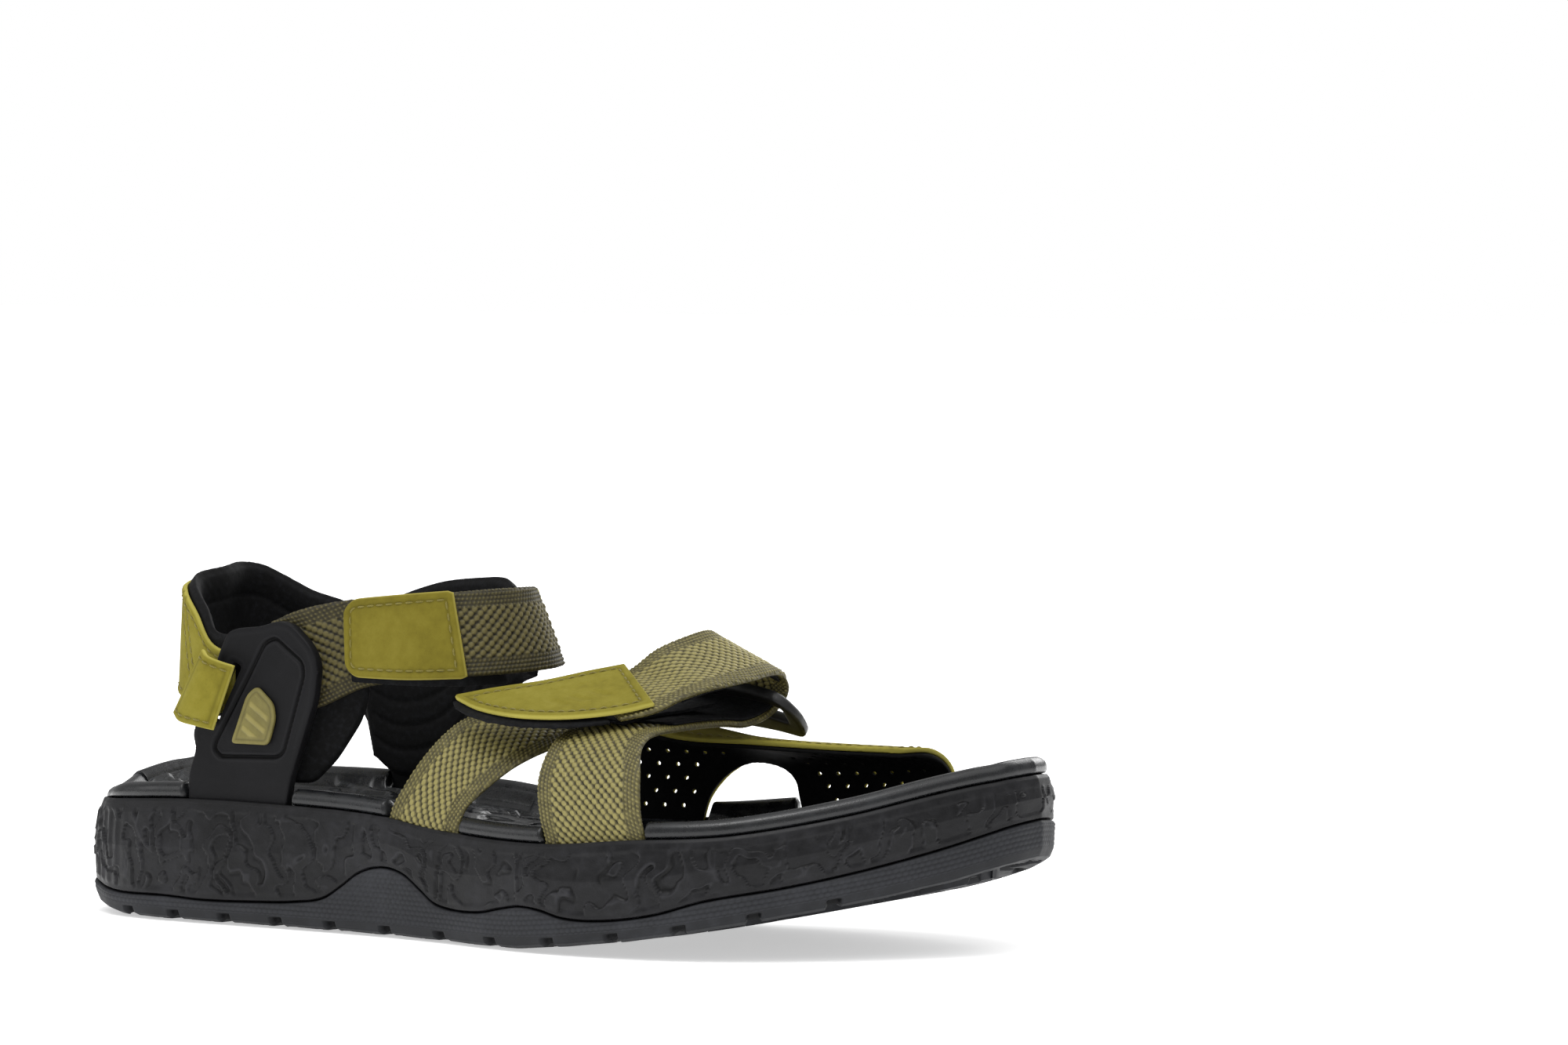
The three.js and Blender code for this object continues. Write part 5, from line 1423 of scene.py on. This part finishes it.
def fuzz_piece(name, band, thickness, node, mat, shift, body, loops=False, inset=0.0, s0=0.0, s1=1.0):
    """hook or loop tape: rows of tiny hooks or a napped face, on its own backing"""
    res = 0.6 / FINE
    ns, nt = max(6, int(band.total / res)), max(6, int(band.width.max() / res))
    S = np.repeat(np.linspace(s0, s1, ns)[:, None], nt, 1)
    T = np.repeat(np.linspace(0, 1, nt)[None, :], ns, 0)
    wid = band.wide(S[:, 0])[:, None]
    T = inset / wid + T * (1 - 2 * inset / wid)
    along, across = S * band.total, T * wid
    if loops:
        h = fbm(along / 0.9, across / 0.9, 6, 2) * 0.35
    else:
        h = np.clip(np.cos(2 * math.pi * along / 1.3) * np.cos(2 * math.pi * across / 1.3), 0, 1) * 0.35
    ho = np.full_like(S, thickness / 2 - 0.1) + (h if loops else 0)
    hi = np.full_like(S, -thickness / 2 + 0.1) - (0 if loops else h)
    ob = slab(name, row(band.at(S, T, ho + shift)), row(band.at(S, T, hi + shift)), mat, edge_round=0.3, uv=np.stack([along / 100, across / 100], -1))
    set_attr(ob, "rise", np.full(len(ob.data.vertices), 0.7))
    if body:
        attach(ob, body)
    if node:
        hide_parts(node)
    return ob



# ================================================================== FOREFOOT STRAPS
def root(x, y): return [x, y, float(zt(x)) - 5]
def eL(x): return float(edge_lat(x)) + 0.9


STRAP_A = ([root(118.6, eL(118.6)), [119.4, eL(119.4), 35.6], [123.1, -35.3, 43.1], [127, -32.3, 50.4], [131, -27.8, 56.9], [134.6, -23, 61], [142, -10, 64.4], [152, 3, 65.6]],
           [root(145, eL(145) + 0.2), [145.4, eL(145.4) + 0.2, 32.2], [147, -40.4, 38], [149.8, -38.8, 41.4], [155, -35, 46.8], [160.6, -30.6, 51.4], [171, -15.4, 57.6], [180, -3, 59.6]])
STRAP_B = ([root(179.8, eL(179.8)), [179.6, eL(179.6) + 0.2, 31], [177.5, -49, 37.4], [174.6, -45.6, 47], [173.6, -39, 54.8], [173.4, -31, 59], [174, -14, 61.9], [175.4, 6, 63.5], [176.4, 17, 64.6], [177.2, 24.6, 66], [178, 29, 68.6], [180, 31.6, 73.6], [183.4, 31.8, 78.8], [186.6, 29.8, 82.2]],
           [root(212.2, eL(212.2)), [212, eL(212) + 0.2, 33.4], [210.6, -49.6, 40.4], [207.6, -45, 50.6], [204, -38.4, 56.8], [202.3, -30, 60.1], [202.6, -13, 61], [203.8, 7, 60.8], [205, 17, 60], [206.4, 24.6, 61.4], [207.8, 29, 63.8], [209, 31.8, 67], [209.8, 31.9, 70], [210, 30.2, 72.2]])
UP_P = [[187.0, 29.4, 82.6], [188.2, 26, 84.2], [190, 19, 86], [189, 9, 84.8], [184, 1.4, 81.2], [178, -3.8, 75.3], [172.6, -8, 73.9], [166.6, -12.4, 72.6]]
UP_Q = [[210.2, 29.8, 72.6], [210.7, 27, 74.0], [210.9, 21, 74.4], [211.2, 11, 73.6], [210.8, -1, 72.8], [209.2, -11, 72], [205, -18, 69.8], [199.4, -23.8, 66.3], [192, -29.6, 64.2]]
TAB_P = [[177.1, -4, 77.3], [170.1, -10, 75.8], [159.2, -19, 72.9], [146.7, -27, 70.7], [137.4, -31, 68.7]]
TAB_Q = [[199.2, -24, 68.5], [192.1, -30, 66.5], [178.7, -36, 64.8], [162.8, -38, 64.6], [148.3, -36, 66], [138.4, -31.9, 68.2]]


def build_forefoot():
    a = outward_side(Band(*STRAP_A), INSTEP_CENTRE, 0.4)
    webbing_on("visual_forefoot_strap_rear", a, "forefoot_strap_rear")
    b = outward_side(Band(*STRAP_B), INSTEP_CENTRE, 0.4)
    webbing_on("visual_forefoot_strap_front", b, "forefoot_strap_front")
    # folded-back seam near the ring
    paths = []
    for s_ in (0.585, 0.60):
        t = np.linspace(0.08, 0.92, 30)
        paths.append((b.at(np.full(30, s_), t, np.full(30, 0.95)), unit(b._pick(b.N, np.full(30, s_)))))
    stitches("visual_front_strap_stitching", paths, length=1.8, gap=0.6, radius=0.28, body="sandal")

    pile = Band([[166, -19, 65.2], [172, -9, 66.2], [181, 4, 66.6], [187, 12, 66.8]], [[190, -25.6, 63], [191, -15, 64.2], [194, 2, 65], [197, 12, 66]])
    outward_side(pile, INSTEP_CENTRE)
    fuzz_piece("visual_instep_pile", pile, 1.0, "instep_pile_pad", HOOK, -0.4, "sandal", loops=True)

    up = Band(UP_P, UP_Q)
    outward_side(up, (180, 0, 45), 0.5)
    w = webbing_on("visual_instep_closure_webbing", up, "instep_closure_webbing", body=None)
    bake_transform(w)
    # loop-pile lining on the strap's inner face
    lin = Band(UP_P, UP_Q)
    outward_side(lin, (180, 0, 45), 0.5)
    lo = fuzz_piece("visual_instep_strap_lining", lin, 0.8, None, HOOK, -1.5, None, loops=True, inset=1.6, s0=0.0, s1=0.74)
    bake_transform(lo)
    # dark napped sheet laid on the front strap's end by the ring: painted shadow under the closure
    painted_shadow_sheet = fuzz_piece("visual_instep_strap_pile", b, 0.8, None, HOOK, 1.45, "sandal", loops=True, inset=1.2, s0=0.48, s1=0.93)

    tab = Band(TAB_P, TAB_Q)
    outward_side(tab, (180, 0, 45), 0.5)
    tot = tab.total

    def leaf(s):
        d = (1 - s) * tot
        w = tab.wide(s)
        r = 1.2
        c = np.where(d < r, (r - np.sqrt(np.clip(r * r - (r - d) ** 2, 0, None))) * 0.3, 0) / np.maximum(w, 1e-3)
        return c, 1 - c

    def mark(along, across):
        # generic raised motif: three nested chevrons pointing along the tab
        cx_, cy_ = tot * 0.36, float(tab.wide(np.array([0.36]))[0]) * 0.5
        u = along - cx_
        v = np.abs(across - cy_)
        h = 0
        for k in (-6.0, 0.0, 6.0):
            d = np.abs(u + v * 0.75 - k) / 1.25
            h = np.maximum(h, smooth01(1.6 - d / 0.9))
        return h * smooth01((6.6 - v) / 0.8)
    ob = leather_piece("visual_instep_tab", tab, leaf, 1.4, "instep_closure_tab", shift=0.0, mat=OLIVE_HIDE, res=0.5, body="instep_flap",
                       dents=[(lambda a_, c, e: np.abs(e - 2.6), 0.16, 0.55)],
                       extra=lambda a_, c, e: 0.12 * np.exp(-((e - 1.2) / 0.9) ** 2) - 0.22 * mark(a_, c))
    W = tab.wide
    ins = 2.7
    H = 0.7 + 0.02
    n = 120
    s = np.linspace(ins / tot, 1 - 8.5 / tot, n)
    t0 = ins / W(s)
    end_s, end_t = [], []
    r = 4.0
    we = float(W(np.array([0.97]))[0])
    es = 1 - (8.5 - np.linspace(0, 2.6, 6)) / tot
    et = np.linspace(float(t0[-1]), 0.5, 6)
    S_ = np.concatenate([s, es, es[::-1], s[::-1]])
    T_ = np.concatenate([t0, et, 1 - et[::-1], 1 - t0[::-1]])
    P = tab.at(S_, T_, np.full(len(S_), H))
    N = unit(tab._pick(tab.N, S_))
    st = np.linspace(ins / float(W(np.array([s[0]]))[0]), 1 - ins / float(W(np.array([s[0]]))[0]), 24)
    front = (tab.at(np.full(24, s[0]), st, np.full(24, H)), unit(tab._pick(tab.N, np.full(24, s[0]))))
    stitches("visual_instep_tab_stitching", [(P, N), front], length=2.3, gap=0.7, radius=0.28, body="instep_flap")

    hook = outward_side(Band([[164.2, -14.6, 72], [158.6, -18.8, 70.7], [146.6, -26.6, 68.6], [137, -31.2, 66.9]], [[189.2, -31.6, 63.4], [178.4, -37, 62.2], [161.6, -39, 62.2], [147, -37, 63.8], [138.6, -32.8, 65.6]]), INSTEP_CENTRE, 0.3)
    fuzz_piece("visual_instep_hook", hook, 1.2, "instep_closure_hook", HOOK, 0.0, "instep_flap")


# ================================================================== MEDIAL PANEL
def base_pt(x): return [float(edge_med(x)) - 0.9, float(zt(x)) - 5]


PANEL = [
    (128, [base_pt(128), [33.6, 36], [34.4, 44], [34, 51], [32, 57], [28.6, 61.4], [25.4, 64], [22.4, 66], [20, 67]]),
    (150, [base_pt(150), [35, 36], [36.6, 44], [36.4, 50.4], [34.6, 55.6], [31, 59.4], [26.6, 61.8], [21.8, 62.6], [17.6, 62]]),
    (180, [base_pt(180), [40.4, 36], [42.2, 43], [42, 48.4], [39.4, 52.6], [34.6, 56], [29, 57.6], [22.6, 57], [17, 55]]),
    (206, [base_pt(206), [45.4, 37], [46.8, 43], [45.6, 47.4], [41.6, 50.2], [36.6, 51.8], [31, 53.6], [24.6, 54.6], [19, 54.2]]),
    (232, [base_pt(232), [48.8, 38], [49.6, 43.4], [47.8, 47.8], [43.8, 50.4], [38.4, 52], [32, 53.2], [26, 53.8], [21, 53.6]]),
    (256, [base_pt(256), [48, 39], [48.6, 43.2], [46.8, 46.8], [43.2, 49.8], [38.8, 51.8], [34.4, 53], [30, 53.4], [26, 53.2]]),
]


def smooth_loop(pts, n):
    P = [list(map(float, p)) for p in pts]
    m = len(P)
    ext = P[-3:] + P + P[:3]
    c = catmull(ext, 40 * (len(ext) - 1))
    c = c[40 * 3:40 * (3 + m)]
    d = np.concatenate([[0], np.cumsum(np.linalg.norm(np.diff(np.vstack([c, c[:1]]), axis=0), axis=1))])
    t = np.linspace(0, d[-1], n, endpoint=False)
    cc = np.vstack([c, c[:1]])
    return np.stack([np.interp(t, d, cc[:, 0]), np.interp(t, d, cc[:, 1])], -1)


def build_panel():
    NX, NJ = 65, 97
    gx = np.linspace(128, 256, NX)
    secs = [catmull(p, NJ - 1) for _, p in PANEL]
    sx = [p[0] for p in PANEL]
    G = np.zeros((NX, NJ, 3))
    for j in range(NJ):
        G[:, j, 0] = gx
        G[:, j, 1] = interp([[x, s[j][0]] for x, s in zip(sx, secs)], gx)
        G[:, j, 2] = interp([[x, s[j][1]] for x, s in zip(sx, secs)], gx)
    du, dv = np.gradient(G, axis=0), np.gradient(G, axis=1)
    Nn = -unit(np.cross(du, dv))
    if Nn[NX // 2, NJ // 4, 1] < 0:
        Nn = -Nn
    # distance travelled up each section, from the sole to the free edge
    A = np.concatenate([np.zeros((NX, 1)), np.cumsum(np.linalg.norm(np.diff(G, axis=1), axis=2), axis=1)], 1)
    idx = np.arange(NJ)

    def surf(x, v):
        fi = np.clip((x - 128) / 128 * (NX - 1), 0, NX - 1.001)
        i = int(fi)
        f = fi - i
        out = []
        for k in (i, i + 1):
            j = float(np.interp(v, A[k], idx))
            j0 = min(int(j), NJ - 2)
            g = j - j0
            out.append((G[k, j0] * (1 - g) + G[k, j0 + 1] * g, Nn[k, j0] * (1 - g) + Nn[k, j0 + 1] * g))
        return out[0][0] * (1 - f) + out[1][0] * f, unit(out[0][1] * (1 - f) + out[1][1] * f)

    def length(x): return float(np.interp(x, gx, A[:, -1]))

    def v_of(x, z):
        k = int(round(np.clip((x - 128) / 128 * (NX - 1), 0, NX - 1)))
        top = int(np.argmax(G[k, :, 2]))
        return float(np.interp(z, G[k, :top + 1, 2], A[k, :top + 1]))
    poly = []
    Lh = length(131)
    for v in np.arange(0.3, Lh - 7.5, 1.0):
        poly.append((130.2 + 1.3 * (1 - v / Lh) - 0.5 * math.sin(math.pi * v / Lh), v))
    for k in np.linspace(0, math.pi / 2, 9)[1:]:
        x = 130.2 + 8 * (1 - math.cos(k))
        poly.append((x, length(x) - 0.05 - 8 * (1 - math.sin(k))))
    for x in np.arange(139, 247.2, 1.0):
        poly.append((x, length(x) - 0.05))
    for k in np.linspace(0, math.pi / 2, 12)[1:]:
        poly.append((247 + 8 * math.sin(k), length(247) - 0.05 - 14 * (1 - math.cos(k))))
    for v in np.arange(poly[-1][1] - 1, 0.4, -1.0):
        poly.append((255.0, v))
    for x in np.arange(254.2, 207.4, -1.0):
        poly.append((x, 0.05))
    arch = smooth_loop([[177, 10], [177.6, 33], [182.6, 42.4], [191.6, 47], [200.6, 45.4], [205.6, 38], [206.6, 10], [192, -4]], 300)
    base_z = lambda x: float(np.interp(x, gx, G[:, 0, 2]))
    ok = [q_[1] > base_z(q_[0]) + 0.1 for q_ in arch]
    start = next(i for i in range(len(arch)) if ok[i] and not ok[i - 1])
    run, i = [], start
    while ok[i % len(arch)] and len(run) < len(arch):
        q_ = arch[i % len(arch)]
        run.append((float(q_[0]), v_of(q_[0], q_[1])))
        i += 1
    if run[0][0] < run[-1][0]:
        run = run[::-1]
    poly += run
    for x in np.arange(run[-1][0] - 0.8, 131.8, -1.0):
        poly.append((x, 0.05))
    outline = np.array(poly)
    keep_ = [0]
    for i in range(1, len(outline)):
        if np.linalg.norm(outline[i] - outline[keep_[-1]]) > 0.45:
            keep_.append(i)
    outline = outline[keep_]
    # perforations in staggered rows, through the leather and its lining
    holes = []
    for r_i, vr in enumerate(np.arange(8.5, 37, 4.0)):
        for xr in np.arange(136 + (r_i % 2) * 2.9, 252, 5.8):
            e_ = float(poly_distance(np.array([xr]), np.array([vr]), outline)[0])
            if e_ < 5.2 or not inside_poly(np.array([xr]), np.array([vr]), outline)[0]:
                continue
            if 150 < xr < 214 and vr > 27:
                continue
            holes.append([(xr + 0.68 * math.cos(2 * math.pi * q / 10), vr + 0.68 * math.sin(2 * math.pi * q / 10)) for q in range(10)])

    def rel(x, v, e):
        d = np.exp(-((e - 2.6) / 0.5) ** 2) * 0.10
        return (fbm(x / 12, v / 12, 9) - 0.5) * 0.25 - d, d * 0, d * 0

    def place(x, v, w):
        p, n = surf(x, v)
        return tuple(p + n * (1.4 - w))
    ob = poly_solid("visual_medial_panel", outline, holes, place, 1.4, OLIVE_HIDE, "medial_panel", res=1.3, relief=rel, round_=0.35)
    set_attr(ob, "seam_groove_shade", np.zeros(len(ob.data.vertices)))

    def place2(x, v, w):
        p, n = surf(x, v)
        return tuple(p + n * (-0.25 - w))
    ob2 = poly_solid("visual_panel_lining", outline, holes, place2, 1.0, LINING, "medial_panel_lining", res=1.8, round_=0.3)
    nx, pv = np.roll(outline, -2, 0), np.roll(outline, 2, 0)
    tg = unit(nx - pv)
    nrm = np.stack([-tg[:, 1], tg[:, 0]], -1)
    q = outline + nrm * 2.6
    if not inside_poly(q[:, 0], q[:, 1], outline).mean() > 0.5:
        q = outline - nrm * 2.6
    good = inside_poly(q[:, 0], q[:, 1], outline) & (poly_distance(q[:, 0], q[:, 1], outline) > 2.2) & (q[:, 1] > 5.5)
    runs, cur = [], []
    for i in range(len(q)):
        if good[i]:
            if cur and np.linalg.norm(q[i] - q[cur[-1]]) > 5:
                runs.append(cur)
                cur = []
            cur.append(i)
        elif cur:
            runs.append(cur)
            cur = []
    if cur:
        runs.append(cur)
    paths = []
    for rn in runs:
        if len(rn) < 6:
            continue
        PP, NN = [], []
        for i in rn:
            p, n = surf(*q[i])
            PP.append(p + n * 1.42)
            NN.append(n)
        paths.append((np.array(PP), np.array(NN)))
    stitches("visual_medial_panel_stitching", paths, length=2.3, gap=0.8, radius=0.27, body="sandal")


# ================================================================== INSTEP RING
def build_ring():
    O = np.array([187, 31.6, 61.9])
    U = unit([0.985, 0.02, -0.07])
    N = np.array([0.1, 0.65, 0.76])
    N = unit(N - U * (N @ U))
    W = unit(np.cross(U, N))
    out = rounded([(-42, -1.6, 4), (-20, 13, 6), (24, 13, 5), (28.4, 6, 4), (27.6, -4, 4), (12, -5.5, 4), (-40, -4.4, 3)], 3)
    slot_ = rounded([(-11.4, 2), (-11.4, 8.8), (23.6, 8.8), (23.6, 2)], 1)

    def place(u, v, w):
        return tuple(O + U * u + W * v + N * (3.4 - w) + np.array([0, 0, -0.006 * max(0, u - 6) ** 2]))

    def rel(u, v, e):
        border = np.exp(-((e - 1.6) / 0.55) ** 2)
        # generic ribs where the plate is widest
        z = (u < -14) & (u > -36)
        rib = smooth01((np.cos(2 * math.pi * (u + v * 0.5) / 3.0)) * 1.6) * z * smooth01((e - 2.6) / 0.5)
        z2 = (v < -1.6) & (u > -10) & (u < 22)
        rib2 = smooth01(np.cos(2 * math.pi * (u + v * 0.6) / 3.2) * 1.6) * z2 * smooth01((e - 2.2) / 0.4)
        # painted shade just inside the raised border, painted highlight on the ribs
        return border * 0.35 + (rib + rib2) * 0.3, np.exp(-((e - 2.7) / 0.5) ** 2) * 0.6, (rib + rib2) * 0.3
    poly_solid("visual_instep_ring", out, [slot_], place, 3.4, GLOSS, "instep_ring", res=0.7, relief=rel, round_=0.9)


# ================================================================== BUILD
import time
T0 = time.time()


def log(s):
    print("scene: %6.1fs %s" % (time.time() - T0, s), flush=True)


build_outsole(); log("outsole")
build_midsole(); log("midsole")
build_footbed(); log("footbed")
build_lateral_quarter(); log("quarter")
build_lateral_pad(); log("pad")
build_medial_quarter(); log("medial quarter")
build_sling(); log("sling")
build_loops(); log("loops")
build_ankle(); log("ankle")
build_forefoot(); log("forefoot")
build_panel(); log("panel")
build_ring(); log("ring")

# the cushion unit is sealed inside the heel and keeps its own mesh
cu = next((o for o in bpy.data.objects if o.name == "heel_cushion_unit"), None)
if cu is not None:
    cu.data.materials.clear()
    cu.data.materials.append(CUSHION)

# ================================================================== STAGE, LIGHT, CAMERA
def stage_mat(name, col, rough=0.9):
    m = Mat(name)
    nz = m.noise(3, 2)
    c = m.mix(m.math("MULTIPLY", nz, 0.02), col, tuple(x * 0.98 for x in col[:3]) + (1,))
    m.set(Base_Color=c, Roughness=rough)
    m.b.inputs["Specular IOR Level"].default_value = 0.0
    m.b.inputs["Emission Color"].default_value = (1, 1, 1, 1)
    m.b.inputs["Emission Strength"].default_value = 0.50
    return m.m


FLOOR = stage_mat("stage_floor", (0.94, 0.94, 0.94, 1))
bpy.ops.mesh.primitive_plane_add(size=14, location=(0, 0, -0.0003))
floor = bpy.context.object
floor.name = "stage_floor"
floor.data.materials.append(FLOOR)

world = bpy.data.worlds.new("stage_world")
bpy.context.scene.world = world
world.use_nodes = True
wn = world.node_tree
bg = wn.nodes["Background"]
bg.inputs[0].default_value = (1, 1, 1, 1)
bg.inputs[1].default_value = 0.42
bg2 = wn.nodes.new("ShaderNodeBackground")
bg2.inputs[0].default_value = (1, 1, 1, 1)
bg2.inputs[1].default_value = 1.0
lp = wn.nodes.new("ShaderNodeLightPath")
mx = wn.nodes.new("ShaderNodeMixShader")
wn.links.new(lp.outputs["Is Camera Ray"], mx.inputs[0])
wn.links.new(bg.outputs[0], mx.inputs[1])
wn.links.new(bg2.outputs[0], mx.inputs[2])
wn.links.new(mx.outputs[0], wn.nodes["World Output"].inputs["Surface"])


def sun(name, loc, angle, power):
    ld = bpy.data.lights.new(name, "SUN")
    ld.energy = power
    ld.angle = math.radians(angle)
    ob = bpy.data.objects.new(name, ld)
    bpy.context.scene.collection.objects.link(ob)
    ob.location = loc
    ob.rotation_euler = (-Vector(loc)).to_track_quat("-Z", "Y").to_euler()
    return ob


def area(name, loc, target, size, power, size_y=None):
    ld = bpy.data.lights.new(name, "AREA")
    ld.energy = power
    ld.shape = "RECTANGLE"
    ld.size = size
    ld.size_y = size_y or size
    ob = bpy.data.objects.new(name, ld)
    bpy.context.scene.collection.objects.link(ob)
    ob.location = loc
    d = Vector(target) - Vector(loc)
    ob.rotation_euler = d.to_track_quat("-Z", "Y").to_euler()
    return ob


sun("stage_soft_key", (0.3, -0.5, 1.9), 75, 1.15)
area("stage_key", (0.15, -0.7, 1.6), (0, 0, 0.03), 0.6, 7)
area("stage_fill", (-1.4, -0.9, 0.8), (0, 0, 0.04), 0.9, 3)
area("stage_rim", (0.1, 1.5, 0.9), (0, 0, 0.04), 1.2, 14)

cam_d = bpy.data.cameras.new("stage_camera")
cam = bpy.data.objects.new("stage_camera", cam_d)
bpy.context.scene.collection.objects.link(cam)
p = math.radians(2.92277)
fwd = Vector((-0.51216 * math.cos(p), 0.85888 * math.cos(p), -math.sin(p)))
right = Vector((0.85888, 0.51216, 0))
upv = right.cross(fwd)
M = Matrix((right, upv, -fwd)).transposed().to_4x4()
M.translation = Vector((1.09132, -1.69838, 0.22012))
cam.matrix_world = M
cam_d.lens = 162.12
cam_d.sensor_width = 36
cam_d.sensor_fit = "HORIZONTAL"
cam_d.clip_end = 50
bpy.context.scene.camera = cam
bpy.context.scene.view_settings.view_transform = "Standard"
